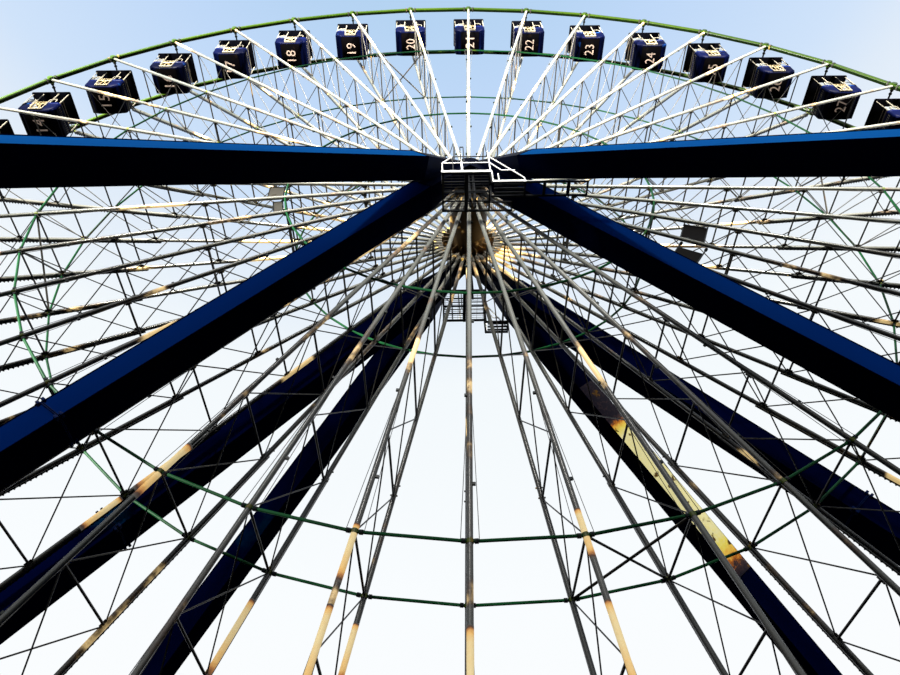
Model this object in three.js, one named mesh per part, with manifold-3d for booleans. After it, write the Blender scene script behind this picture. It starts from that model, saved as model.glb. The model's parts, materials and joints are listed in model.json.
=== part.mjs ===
// Transportable ferris wheel with forty open cabins, modelled at half size.
// Frame: millimetres, +Z up, origin on the ground below the hub.
// +X runs to the right and +Y away from the viewer, along the axle.
// The named sizes below are those of the real wheel. MODEL_SCALE brings them to half size.

import * as THREE from 'three';
import { mergeVertices } from 'three/addons/utils/BufferGeometryUtils.js';
import Module from 'manifold-3d';

const MODEL_SCALE = 0.5;

// Wheel
const CABIN_COUNT = 40;
const TOP_CABIN = 21;
const REST_ANGLE_DEG = 2.7; // spoke 21 leans this far clockwise from the vertical
const NODE_RADIUS = 22500; // circle of the cabin axles
const HUB_HEIGHT = 25650;
const FACE_OFFSET = 1247; // mid plane of the wheel to the mid plane of either face
const RIM_HALF_WIDTH = 110; // along Y
const RIM_HALF_DEPTH = 110; // along the radius
const CHORD_SIZE = 130;
const CHORD_START = 1000;
const INNER_RING_RADIUS = 6590;
const OUTER_RING_RADIUS = 14935;
const RING_SIZE = 66;

// Hub
const DRUM_RADIUS = 700;
const DRUM_HALF_LENGTH = 1480;
const COLLAR_RADIUS = 430;
const AXLE_RADIUS = 270;
const AXLE_HALF_LENGTH = 2120;
const HUB_PLATE_RADIUS = 1150;
const HUB_PLATE_HALF_THICKNESS = 90;
const HUB_SIDES = 16;

// Bearing heads and legs: hub end and foot of each line, for the quadrant +X +Y
const HEAD_INNER_Y = 1650;
const HEAD_OUTER_Y = 2150;
const HEAD_HALF_WIDTH = 720;
const HEAD_TOP = 120;
const HEAD_BOTTOM = 800;
const HOUSING_RADIUS = 380;
const BORE_RADIUS = 300;
const A_LEG = {
  hub: [23, 2070, -158],
  foot: [20610, 1935, -HUB_HEIGHT],
  size: [850, 765],
  roll: -0.027,
};
const OUTRIGGER = {
  hub: [315, 2048, -45],
  foot: [20115, 15165, -HUB_HEIGHT],
  size: [790, 720],
  roll: -0.446,
};
const STUB_LENGTH = 2590; // tapered end of each leg that belongs to the bearing head
const STUB_TAPER = 0.4;

// Ground frame
const SIDE_BEAM = { x: [19000, 20950], y: 15800, height: 450 };
const TIE_BEAM = { y: 1935, halfWidth: 300, height: 400 };

// Service platforms below the bearing heads
const PLATFORM = { floor: -2480, left: -1020, right: 566, near: 1620, far: 3055, thickness: 80 };
const LANDING = { floor: -3180, near: 2530, far: 3065, endFront: 1600, endBack: 1360 };
const WALKWAY = { end: 3580, beam: 60, rungs: [2190, 2550, 2950, 3550] };
const SIDE_STEP = { end: 1310, far: 1980 };
const RAIL_SIZE = 45;
const RAIL_HEIGHT = 640;
const TOP_RAIL = { height: 1100, start: -650 };
const TALL_POST = { x: -320, height: 1820 };
const LEG_CLEARANCE_Y = 2560; // side rails stay in front of the A legs
const HANGER_SIZE = 160;
const HANGERS = [1760, 2040];

// Cabin, measured from its axle
const CABIN_AXLE_SIZE = 84;
const HANGER_PLATE = { y: 500, halfThickness: 30, halfWidth: 95, top: 75 };
const ROOF = { halfWidth: 911, halfDepth: 800, top: -371, bottom: -431 };
const TUB = { halfWidth: 878, halfDepth: 743, top: -1553, side: -2150, bottom: -2363, sole: 560 };
const TUB_WALL = 70;
const TUB_FLOOR = -2283;
const SEAT = { top: -1880, edge: 430 };
const DOOR_HALF_WIDTH = 300;
const POST_SIZE = 50;

const TOUCH_GAP = 0.3; // model millimetres between pieces that touch
const BEARING_GAP = 0.4; // model millimetres at the end faces of the turning axles

const BLUE = new THREE.Color(0.03, 0.1, 0.36);
const NAVY = new THREE.Color(0.02, 0.03, 0.12);
const GREEN = new THREE.Color(0.25, 0.48, 0.1);
const IRON = new THREE.Color(0.2, 0.2, 0.21);
const HUB_BROWN = new THREE.Color(0.25, 0.22, 0.18);

const wasm = await Module();
wasm.setup();

const s = (length) => length * MODEL_SCALE;

// A closed three.js geometry becomes a solid, whichever way its faces point.
function solid(geometry) {
  const bare = geometry.index ? geometry.toNonIndexed() : geometry.clone();
  bare.deleteAttribute('normal');
  bare.deleteAttribute('uv');
  const welded = mergeVertices(bare, 1e-3);
  const triVerts = Uint32Array.from(welded.index.array);
  const kept = [];
  for (let i = 0; i < triVerts.length; i += 3) {
    const [a, b, c] = [triVerts[i], triVerts[i + 1], triVerts[i + 2]];
    if (a !== b && b !== c && a !== c) kept.push(a, b, c);
  }
  const vertProperties = Float32Array.from(welded.attributes.position.array);
  const make = (tris) => new wasm.Manifold(
    new wasm.Mesh({ numProp: 3, vertProperties, triVerts: Uint32Array.from(tris) }),
  );
  const first = make(kept);
  if (first.volume() > 0) return first;
  const turned = [];
  for (let i = 0; i < kept.length; i += 3) turned.push(kept[i], kept[i + 2], kept[i + 1]);
  return make(turned);
}

function geometryOf(manifold) {
  const mesh = manifold.getMesh();
  const geometry = new THREE.BufferGeometry();
  const count = mesh.vertProperties.length / mesh.numProp;
  const position = new Float32Array(count * 3);
  for (let i = 0; i < count; i += 1) {
    position[3 * i] = mesh.vertProperties[mesh.numProp * i];
    position[3 * i + 1] = mesh.vertProperties[mesh.numProp * i + 1];
    position[3 * i + 2] = mesh.vertProperties[mesh.numProp * i + 2];
  }
  geometry.setAttribute('position', new THREE.BufferAttribute(position, 3));
  geometry.setIndex(new THREE.BufferAttribute(Uint32Array.from(mesh.triVerts), 1));
  geometry.computeVertexNormals();
  return geometry;
}

function joined(solids) {
  return solids.reduce((sum, next) => sum.add(next));
}

// Joining in pairs keeps the work small on the wheel's faces.
function joinedInPairs(solids) {
  let list = solids;
  while (list.length > 1) {
    const next = [];
    for (let i = 0; i < list.length; i += 2) {
      next.push(i + 1 < list.length ? list[i].add(list[i + 1]) : list[i]);
    }
    list = next;
  }
  return list[0];
}

// Box from two corners, in real millimetres.
function box(x0, x1, y0, y1, z0, z1) {
  const geometry = new THREE.BoxGeometry(s(x1 - x0), s(y1 - y0), s(z1 - z0));
  geometry.translate(s((x0 + x1) / 2), s((y0 + y1) / 2), s((z0 + z1) / 2));
  return solid(geometry);
}

// Prism of a section given as [u, v] points, from start to end, u kept nearest to the given side.
function bar(start, end, section, side) {
  const a = new THREE.Vector3(...start);
  const b = new THREE.Vector3(...end);
  const along = b.clone().sub(a);
  const length = along.length();
  along.normalize();
  const u = side.clone().addScaledVector(along, -side.dot(along)).normalize();
  const v = along.clone().cross(u);
  const shape = new THREE.Shape(section.map(([x, y]) => new THREE.Vector2(s(x), s(y))));
  const geometry = new THREE.ExtrudeGeometry(shape, { depth: s(length), bevelEnabled: false });
  const basis = new THREE.Matrix4().makeBasis(u, v, along);
  basis.setPosition(a.multiplyScalar(MODEL_SCALE));
  geometry.applyMatrix4(basis);
  return solid(geometry);
}

function rectangle(width, height) {
  return [[-width / 2, -height / 2], [width / 2, -height / 2], [width / 2, height / 2], [-width / 2, height / 2]];
}

// Ring of straight pieces between the spokes, about the Y axis, from a closed section of [r, y] points.
function ring(section, segments) {
  const points = [...section, section[0]].map(([r, y]) => new THREE.Vector2(s(r), s(y)));
  const geometry = new THREE.LatheGeometry(points, segments, THREE.MathUtils.degToRad(REST_ANGLE_DEG));
  return solid(geometry);
}

function turned(profile, segments) {
  const points = profile.map(([r, y]) => new THREE.Vector2(s(r), s(y)));
  const geometry = new THREE.LatheGeometry(points, segments, THREE.MathUtils.degToRad(REST_ANGLE_DEG));
  return solid(geometry);
}

const spokeAngle = (k) => THREE.MathUtils.degToRad(REST_ANGLE_DEG + (360 / CABIN_COUNT) * k);

function onSpoke(k, radius, y) {
  const angle = spokeAngle(k);
  return [radius * Math.sin(angle), y, radius * Math.cos(angle)];
}

const Y_AXIS = new THREE.Vector3(0, 1, 0);
const X_AXIS = new THREE.Vector3(1, 0, 0);
const Z_AXIS = new THREE.Vector3(0, 0, 1);

// One face of the wheel: rim, forty spokes, two rings of thin tube and the plate at the hub.
function wheelFace(side) {
  const y = side * FACE_OFFSET;
  const rim = ring([
    [NODE_RADIUS - RIM_HALF_DEPTH, y - RIM_HALF_WIDTH],
    [NODE_RADIUS + RIM_HALF_DEPTH, y - RIM_HALF_WIDTH],
    [NODE_RADIUS + RIM_HALF_DEPTH, y + RIM_HALF_WIDTH],
    [NODE_RADIUS - RIM_HALF_DEPTH, y + RIM_HALF_WIDTH],
  ], CABIN_COUNT);
  const h = RING_SIZE / 2;
  const rings = [INNER_RING_RADIUS, OUTER_RING_RADIUS].map((radius) => ring([
    [radius - h, y - h],
    [radius + h, y - h],
    [radius, y + h],
  ], CABIN_COUNT));
  const bore = DRUM_RADIUS + 1;
  const plate = ring([
    [bore, y - HUB_PLATE_HALF_THICKNESS],
    [HUB_PLATE_RADIUS, y - HUB_PLATE_HALF_THICKNESS],
    [HUB_PLATE_RADIUS, y + HUB_PLATE_HALF_THICKNESS],
    [bore, y + HUB_PLATE_HALF_THICKNESS],
  ], HUB_SIDES);
  const chords = [];
  for (let k = 0; k < CABIN_COUNT; k += 1) {
    chords.push(bar(
      onSpoke(k, CHORD_START, y),
      onSpoke(k, NODE_RADIUS, y),
      rectangle(CHORD_SIZE, CHORD_SIZE),
      Y_AXIS,
    ));
  }
  return joinedInPairs(chords).add(plate).add(rings[0]).add(rings[1]).add(rim);
}

function hubDrum() {
  const shoulder = HEAD_INNER_Y - BEARING_GAP / MODEL_SCALE;
  return turned([
    [0, -AXLE_HALF_LENGTH],
    [AXLE_RADIUS, -AXLE_HALF_LENGTH],
    [AXLE_RADIUS, -shoulder],
    [COLLAR_RADIUS, -shoulder],
    [COLLAR_RADIUS, -DRUM_HALF_LENGTH],
    [DRUM_RADIUS, -DRUM_HALF_LENGTH],
    [DRUM_RADIUS, DRUM_HALF_LENGTH],
    [COLLAR_RADIUS, DRUM_HALF_LENGTH],
    [COLLAR_RADIUS, shoulder],
    [AXLE_RADIUS, shoulder],
    [AXLE_RADIUS, AXLE_HALF_LENGTH],
    [0, AXLE_HALF_LENGTH],
  ], HUB_SIDES);
}

// Line, direction and section axes of a leg on the side sx (left or right) and sy (front or back).
function legLine(leg, sx, sy) {
  const hub = new THREE.Vector3(leg.hub[0] * sx, leg.hub[1] * sy, leg.hub[2]);
  const foot = new THREE.Vector3(leg.foot[0] * sx, leg.foot[1] * sy, leg.foot[2]);
  const along = foot.clone().sub(hub).normalize();
  const level = along.clone().cross(Z_AXIS).normalize();
  const upright = level.clone().cross(along);
  const roll = leg.roll * sx * sy;
  const u = level.clone().multiplyScalar(Math.cos(roll)).addScaledVector(upright, Math.sin(roll));
  return { hub, foot, along, u };
}

function stub(leg, sx, sy) {
  const { hub, along, u } = legLine(leg, sx, sy);
  const corner = Math.SQRT1_2;
  const geometry = new THREE.CylinderGeometry(corner, corner * STUB_TAPER, 1, 4);
  geometry.rotateY(Math.PI / 4);
  geometry.translate(0, 0.5, 0);
  const w = u.clone().cross(along);
  const basis = new THREE.Matrix4().makeBasis(
    u.clone().multiplyScalar(s(leg.size[0])),
    along.clone().multiplyScalar(s(STUB_LENGTH)),
    w.clone().multiplyScalar(s(leg.size[1])),
  );
  basis.setPosition(hub.clone().multiplyScalar(MODEL_SCALE));
  geometry.applyMatrix4(basis);
  return solid(geometry);
}

function bearingHead(sy) {
  const near = sy * HEAD_INNER_Y;
  const far = sy * HEAD_OUTER_Y;
  let head = box(
    -HEAD_HALF_WIDTH, HEAD_HALF_WIDTH,
    Math.min(near, far), Math.max(near, far),
    -HEAD_BOTTOM, HEAD_TOP,
  );
  head = head.add(turned([
    [0, Math.min(near, far)],
    [HOUSING_RADIUS, Math.min(near, far)],
    [HOUSING_RADIUS, Math.max(near, far)],
    [0, Math.max(near, far)],
  ], HUB_SIDES));
  for (const sx of [-1, 1]) {
    head = head.add(stub(A_LEG, sx, sy)).add(stub(OUTRIGGER, sx, sy));
  }
  const clear = box(-4000, 4000, Math.min(0, near), Math.max(0, near), -4000, 4000);
  const bore = turned([
    [0, Math.min(near, far) - 200],
    [BORE_RADIUS, Math.min(near, far) - 200],
    [BORE_RADIUS, Math.max(near, far) + 200],
    [0, Math.max(near, far) + 200],
  ], HUB_SIDES);
  return head.subtract(bore).subtract(clear);
}

function leg(spec, sx, sy) {
  const { hub, foot, along, u } = legLine(spec, sx, sy);
  const start = hub.clone().addScaledVector(along, STUB_LENGTH + TOUCH_GAP / MODEL_SCALE);
  const end = foot.clone().addScaledVector(along, 1500);
  const beam = bar(start.toArray(), end.toArray(), rectangle(spec.size[0], spec.size[1]), u);
  const cutZ = -HUB_HEIGHT + SIDE_BEAM.height + TOUCH_GAP / MODEL_SCALE;
  return beam.subtract(box(-30000, 30000, -30000, 30000, cutZ - 6000, cutZ));
}

function sideBeam(sx) {
  const [x0, x1] = SIDE_BEAM.x.map((x) => x * sx).sort((a, b) => a - b);
  return box(x0, x1, -SIDE_BEAM.y, SIDE_BEAM.y, -HUB_HEIGHT, -HUB_HEIGHT + SIDE_BEAM.height);
}

function tieBeam(sy) {
  const x = SIDE_BEAM.x[0] - TOUCH_GAP / MODEL_SCALE;
  const y = TIE_BEAM.y * sy;
  return box(
    -x, x, y - TIE_BEAM.halfWidth, y + TIE_BEAM.halfWidth,
    -HUB_HEIGHT, -HUB_HEIGHT + TIE_BEAM.height,
  );
}

// Floor hung from the bearing head, with a guard rail, and a lower landing on the right.
// The front one also has a side step near the wheel and an open walkway frame along the leg.
function platform(sy) {
  const span = (a, b) => [Math.min(a * sy, b * sy), Math.max(a * sy, b * sy)];
  const block = (x0, x1, ya, yb, z0, z1) => box(x0, x1, ...span(ya, yb), z0, z1);
  const { floor, left, right, near, far, thickness } = PLATFORM;
  const landingEnd = sy < 0 ? LANDING.endFront : LANDING.endBack;
  const under = LANDING.floor - thickness;
  const t = WALKWAY.beam;
  const parts = [
    block(left, right, near, far, floor - thickness, floor),
    block(right - t, landingEnd, LANDING.near, LANDING.far, under, LANDING.floor),
  ];
  for (const y of HANGERS) {
    const half = HANGER_SIZE / 2;
    const top = -HEAD_BOTTOM - TOUCH_GAP / MODEL_SCALE;
    parts.push(block(-half, half, y - half, y + half, floor - 20, top));
  }
  const lines = [LANDING.near, far - t];
  for (const y of lines) parts.push(block(right - t, right, y, y + t, under, floor));
  const step = (floor - LANDING.floor) / 3;
  for (const z of [LANDING.floor + step, LANDING.floor + 2 * step]) {
    parts.push(block(right - t, right, LANDING.near, far, z - t / 2, z + t / 2));
  }
  if (sy < 0) {
    parts.push(block(right - 200, SIDE_STEP.end, near, SIDE_STEP.far, floor - thickness, floor));
    for (const y of lines) parts.push(block(landingEnd - 50, WALKWAY.end, y, y + t, under, LANDING.floor));
    for (const x of WALKWAY.rungs) {
      parts.push(block(x - t / 2, x + t / 2, LANDING.near + 20, far - 20, under + 10, LANDING.floor - 10));
    }
  }
  const r = RAIL_SIZE / 2;
  const outer = far - r;
  const rail = (x0, x1, ya, yb, z) => block(x0 - r, x1 + r, ya - r, yb + r, z - r, z + r);
  const post = (x, height, base = floor) => block(x - r, x + r, outer - r, outer + r, base - 20, floor + height);
  const low = floor + RAIL_HEIGHT;
  const high = floor + TOP_RAIL.height;
  parts.push(rail(left + r, right - r, outer, outer, low));
  parts.push(rail(left + r, left + r, LEG_CLEARANCE_Y, outer, low));
  parts.push(rail(TOP_RAIL.start, right - r, outer, outer, high));
  parts.push(post(left + r, RAIL_HEIGHT + r), post(TOP_RAIL.start, TOP_RAIL.height));
  parts.push(post(TALL_POST.x, TALL_POST.height), post(right - r, TOP_RAIL.height + r));
  const slope = (x0, z0, x1, z1) => parts.push(bar(
    [x0, outer * sy, z0], [x1, outer * sy, z1],
    rectangle(RAIL_SIZE * 0.8, RAIL_SIZE * 0.8), Y_AXIS,
  ));
  slope(left + r, low, TOP_RAIL.start, high);
  slope(right - r, high, landingEnd - 2 * r, LANDING.floor - 20);
  return joined(parts);
}

// Cabin about its own axle: axle and hanger plates, roof, corner posts, tub with doorway and two benches.
function cabin() {
  const endY = FACE_OFFSET - RIM_HALF_WIDTH - BEARING_GAP / MODEL_SCALE;
  const axle = bar([0, -endY, 0], [0, endY, 0], rectangle(CABIN_AXLE_SIZE, CABIN_AXLE_SIZE), X_AXIS);
  const roof = box(-ROOF.halfWidth, ROOF.halfWidth, -ROOF.halfDepth, ROOF.halfDepth, ROOF.bottom, ROOF.top);
  const plates = [-1, 1].map((side) => {
    const y = side * HANGER_PLATE.y;
    const t = HANGER_PLATE.halfThickness;
    const w = HANGER_PLATE.halfWidth;
    return box(-w, w, y - t, y + t, ROOF.top - 20, HANGER_PLATE.top);
  });
  const outline = [
    [-TUB.halfWidth, TUB.top], [-TUB.halfWidth, TUB.side], [-TUB.sole, TUB.bottom],
    [TUB.sole, TUB.bottom], [TUB.halfWidth, TUB.side], [TUB.halfWidth, TUB.top],
  ];
  const inner = TUB.halfWidth - TUB_WALL;
  const over = TUB.top + 100;
  const hollow = [
    [-inner, over], [-inner, SEAT.top], [-SEAT.edge, SEAT.top], [-SEAT.edge, TUB_FLOOR],
    [SEAT.edge, TUB_FLOOR], [SEAT.edge, SEAT.top], [inner, SEAT.top], [inner, over],
  ];
  // A section in X and Z is extruded along Y: u is X and v is -Z.
  const alongY = (section, depth) => bar(
    [0, -depth, 0], [0, depth, 0], section.map(([x, z]) => [x, -z]), X_AXIS,
  );
  let tub = alongY(outline, TUB.halfDepth);
  tub = tub.subtract(alongY(hollow, TUB.halfDepth - TUB_WALL));
  tub = tub.subtract(box(
    -DOOR_HALF_WIDTH, DOOR_HALF_WIDTH,
    -TUB.halfDepth - 50, -TUB.halfDepth + TUB_WALL + 20,
    TUB_FLOOR, over,
  ));
  const p = POST_SIZE / 2;
  const posts = [];
  for (const sx of [-1, 1]) {
    for (const sy of [-1, 1]) {
      const x = sx * (TUB.halfWidth - TUB_WALL / 2);
      const y = sy * (TUB.halfDepth - TUB_WALL / 2);
      posts.push(box(x - p, x + p, y - p, y + p, TUB.top - 20, ROOF.bottom + 20));
    }
  }
  return joined([tub, roof, ...plates, axle, ...posts]);
}

const wheel = new THREE.Group();
wheel.name = 'ferris_wheel';
const hubLevel = new THREE.Group();
hubLevel.position.set(0, 0, s(HUB_HEIGHT));
wheel.add(hubLevel);

function place(name, manifold, color, roughness, metalness, position) {
  const material = new THREE.MeshStandardMaterial({ color, roughness, metalness });
  const geometry = manifold.isBufferGeometry ? manifold : geometryOf(manifold);
  const mesh = new THREE.Mesh(geometry, material);
  mesh.name = name;
  if (position) mesh.position.set(...position);
  hubLevel.add(mesh);
}

const ENDS = [['front', -1], ['back', 1]];
const SIDES = [['left', -1], ['right', 1]];

for (const [end, sy] of ENDS) {
  place(`bearing_head_${end}`, bearingHead(sy), BLUE, 0.45, 0.1);
  place(`platform_${end}`, platform(sy), IRON, 0.6, 0.4);
  place(`tie_beam_${end}`, tieBeam(sy), BLUE, 0.5, 0.1);
  for (const [side, sx] of SIDES) {
    place(`a_leg_${end}_${side}`, leg(A_LEG, sx, sy), BLUE, 0.45, 0.1);
    place(`outrigger_${end}_${side}`, leg(OUTRIGGER, sx, sy), BLUE, 0.45, 0.1);
  }
}
for (const [side, sx] of SIDES) {
  place(`side_beam_${side}`, sideBeam(sx), BLUE, 0.5, 0.1);
}

place('hub_drum', hubDrum(), HUB_BROWN, 0.5, 0.4);
place('wheel_face_front', wheelFace(-1), GREEN, 0.4, 0.1);
place('wheel_face_back', wheelFace(1), GREEN, 0.4, 0.1);

const cabinGeometry = geometryOf(cabin());
for (let n = 1; n <= CABIN_COUNT; n += 1) {
  const [x, y, z] = onSpoke(n - TOP_CABIN, NODE_RADIUS, 0);
  const label = String(n).padStart(2, '0');
  place(`cabin_${label}`, cabinGeometry, NAVY, 0.35, 0.1, [s(x), s(y), s(z)]);
}

export default wheel;
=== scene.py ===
"""Transportable ferris wheel with forty open cabins, dressed on its half-size solid model."""

import json
import math

import bmesh
import bpy
from mathutils import Matrix, Vector


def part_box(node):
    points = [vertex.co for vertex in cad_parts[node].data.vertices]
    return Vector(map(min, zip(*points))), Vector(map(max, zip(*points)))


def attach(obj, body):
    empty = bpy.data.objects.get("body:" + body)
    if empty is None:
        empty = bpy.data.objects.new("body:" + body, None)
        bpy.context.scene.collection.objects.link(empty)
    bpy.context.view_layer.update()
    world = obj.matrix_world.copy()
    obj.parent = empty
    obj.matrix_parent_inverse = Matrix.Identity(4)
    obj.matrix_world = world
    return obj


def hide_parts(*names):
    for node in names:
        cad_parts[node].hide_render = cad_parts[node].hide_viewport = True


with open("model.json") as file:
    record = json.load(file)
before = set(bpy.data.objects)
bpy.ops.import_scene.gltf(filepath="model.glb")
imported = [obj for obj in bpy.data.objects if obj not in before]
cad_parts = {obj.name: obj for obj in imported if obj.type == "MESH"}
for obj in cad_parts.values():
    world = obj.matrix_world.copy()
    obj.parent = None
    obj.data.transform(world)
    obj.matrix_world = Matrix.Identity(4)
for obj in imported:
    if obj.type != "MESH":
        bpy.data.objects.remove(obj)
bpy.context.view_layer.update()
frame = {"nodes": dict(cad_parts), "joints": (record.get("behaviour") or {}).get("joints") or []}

# Named sizes are those of the real wheel in millimetres. mm() turns them into metres of the half-size model.
MODEL_SCALE = 0.5


def mm(length):
    return length * 0.001 * MODEL_SCALE


def at(x, y, z):
    return Vector((mm(x), mm(y), mm(z)))


joint_of = {joint["child"]: joint for joint in frame["joints"]}
hub = Vector(joint_of["wheel"]["pos_m"])
cabin_places = {name: Vector(joint["pos_m"]) for name, joint in sorted(joint_of.items()) if name != "wheel"}
top_arm = cabin_places["cabin_21"] - hub
REST_ANGLE = math.atan2(top_arm.x, top_arm.z)
SPOKES = len(cabin_places)
STEP_ANGLE = math.tau / SPOKES
AT_HUB = Matrix.Translation(hub)

# Wheel
NODE_RADIUS = 22500
FACE_Y = 1247
RIM_RADIUS = 118
CHORD_RADIUS = 67
CHORD_START = 1020
INNER_RING = 6590
OUTER_RING = 14935
RING_RADII = (INNER_RING, OUTER_RING)
RING_TUBE = 38
STRUT_RADII = (3800, INNER_RING, 9370, 12150, OUTER_RING, 17460, 19980)
STRUT_TUBE = 30
ROD_TUBE = 18
BRACE_TUBE = 33
BRACED_BAY = 18
COUPLER_RADIUS = 56
CABLE_TUBE = 8
LAMP_START = 11950
LAMP_SPACING = 135

# Clips on the front spokes: radius, side of the spoke
CLIPS = ((2600, -1), (5200, 1), (7900, -1), (10800, 1), (13500, -1), (18700, 1))

# Panels: spoke, inner and outer radius, shares of the bay where they start and end. The first two are brown.
PANEL_Y = 96 - FACE_Y
PANELS = (
    (12, 7660, 8420, 0.08, 0.80), (13, 7760, 8560, 0.32, 0.96),
    (-11, 6700, 7240, 0.10, 0.88), (-12, 6690, 7010, 0.14, 0.88),
)

# Painted stretches of sunlight: side of the wheel, number of the spoke from the top one, radii where they
# start and end
SUNLIT_STRETCHES = (
    (-1, 19, 14300, 15500), (-1, 19, 16350, 18200), (-1, 20, 16700, 18900), (-1, 21, 14750, 16100),
    (-1, 21, 16550, 18300), (-1, 23, 14050, 15700), (1, 21, 15600, 16900), (1, 22, 15650, 17500),
    (1, 24, 12900, 14700), (1, 24, 15050, 16200),
)

# Hub
DRUM_RADIUS = 700
FLANGE_RADIUS = 1150

# Cabin, measured from its axle
ROOF_TOP = -371
ROOF_BOTTOM = -431
ROOF_HALF = (911, 800)
TUB_TOP = -1553
TUB_SIDE = -2150
TUB_BOTTOM = -2363
TUB_RIM = TUB_TOP - 150
TUB_HALF = (878, 743)
TUB_WALL = 60
INNER_X = TUB_HALF[0] - TUB_WALL
INNER_Y = TUB_HALF[1] - TUB_WALL
TUB_FLOOR = -2283
SOLE_HALF = (560, 690)
SEAT_TOP = -1880
SEAT_EDGE = 430
DOOR_HALF = 300
POST_X = 350
PLATE_Y = 500
AXLE_END = 1136
HANDWHEEL_RADIUS = 250
DIGIT_HEIGHT = 520
NUMBER_WIDTH = 590

# Painted patch of sunlight, with painted shadows of rods across it, on one side of one leg, measured along
# it from its head
SUNLIT_LEG = "outrigger_back_right"
SUNLIT_SIDE = (3900, 11900)

# Service platforms, measured from the hub: Y counts outward along the axle on either side
FLOOR_Z = -2480
FLOOR_X = (-1020, 566)
FLOOR_Y = (1620, 3055)
FLOOR_DEPTH = 80
LANDING_Z = -3180
LANDING_Y = (2530, 3065)
LANDING_END = {"front": 1600, "back": 1360}
WALKWAY_END = 3580
SIDE_STEP = ((366, 1310), (1620, 1980))
HANGER_Y = (1760, 2040)
HANGER_TOP = -795

# Rungs of the walkway: place, half width. One of them carries a knob.
KNOB_X = 2950
WALKWAY_RUNGS = ((2190, 44), (2550, 24), (KNOB_X, 48), (3550, 26))

# Their rails, with heights above the floor
MID_RAIL = 640
TOP_RAIL = 1100
TOP_RAIL_START = -650
TALL_POST = (-320, 1820)
RAIL_TUBE = 23

# Sun: its azimuth from the back of the wheel, and its height over the horizon, in degrees
SUN_AZIMUTH = -172
SUN_ELEVATION = 38

# Studio, in metres
FLOOR_HALF = 90.0

# Sky colours from straight down, 0, to straight up, 1: what the camera sees, what lights the wheel
# and what gleams in its paint
SKY_SEEN = (
    (0.5, (0.98, 0.98, 0.98)), (0.74, (0.95, 0.98, 1.0)), (0.86, (0.90, 0.95, 0.98)),
    (0.905, (0.75, 0.84, 0.95)), (0.925, (0.63, 0.77, 0.96)), (0.965, (0.52, 0.69, 0.94)),
    (0.99, (0.44, 0.64, 0.87)),
)
SKY_CAST = (
    (0.0, (0.0, 0.0, 0.0)), (0.50, (0.004, 0.004, 0.006)), (0.70, (0.010, 0.012, 0.015)),
    (0.85, (0.28, 0.31, 0.36)), (1.0, (1.50, 1.62, 1.80)),
)
SKY_GLEAM = (
    (0.0, (0.0, 0.0, 0.0)), (0.50, (0.0, 0.0, 0.0)), (0.54, (0.85, 0.86, 0.88)), (1.0, (0.70, 0.78, 0.90)),
)

# Camera at the photograph's place
CAMERA_FROM_HUB = Vector((-1332, -13365, -22946))
CAMERA_TURN = 2.693
CAMERA_HEADING = 1.278
CAMERA_TILT = 49.865
CAMERA_ROLL = 1.701
CAMERA_LENS = 27.888


# Nodes


def put(socket, value):
    """Link a socket to another one, or set its value."""
    if isinstance(value, bpy.types.NodeSocket):
        socket.id_data.links.new(value, socket)
    else:
        socket.default_value = value


def node(tree, kind, mode=None, **inputs):
    """A new node with its inputs by name, where an underscore stands for a space."""
    made = tree.nodes.new(kind)
    if mode:
        made.mode = mode
    for label, value in inputs.items():
        put(made.inputs[label.replace("_", " ")], value)
    return made


def math_node(tree, operation, *values):
    made = node(tree, "ShaderNodeMath")
    made.operation = operation
    for socket, value in zip(made.inputs, values):
        put(socket, value)
    return made.outputs[0]


def noise(tree, place, scale, detail):
    made = node(tree, "ShaderNodeTexNoise", Vector=place, Scale=scale, Detail=detail, Roughness=0.55)
    return made.outputs["Fac"]


def smooth_step(tree, value, low, high):
    made = node(tree, "ShaderNodeMapRange")
    made.interpolation_type = "SMOOTHSTEP"
    for label, source in (("Value", value), ("From Min", low), ("From Max", high)):
        put(made.inputs[label], source)
    return made.outputs["Result"]


def mix_color(tree, factor, first, second):
    made = node(tree, "ShaderNodeMix")
    made.data_type = "RGBA"
    put(made.inputs["Factor"], factor)
    for label, source in (("A", first), ("B", second)):
        put(made.inputs[label], (*source, 1.0) if isinstance(source, tuple) else source)
    return made.outputs["Result"]


def color_ramp(tree, value, stops):
    ramp = node(tree, "ShaderNodeValToRGB")
    put(ramp.inputs[0], value)
    ends = ramp.color_ramp.elements
    for end, (position, color) in zip(ends, (stops[0], stops[-1])):
        end.position, end.color = position, (*color, 1.0)
    for position, color in stops[1:-1]:
        ends.new(position).color = (*color, 1.0)
    return ramp.outputs[0]


# Finishes


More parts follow.
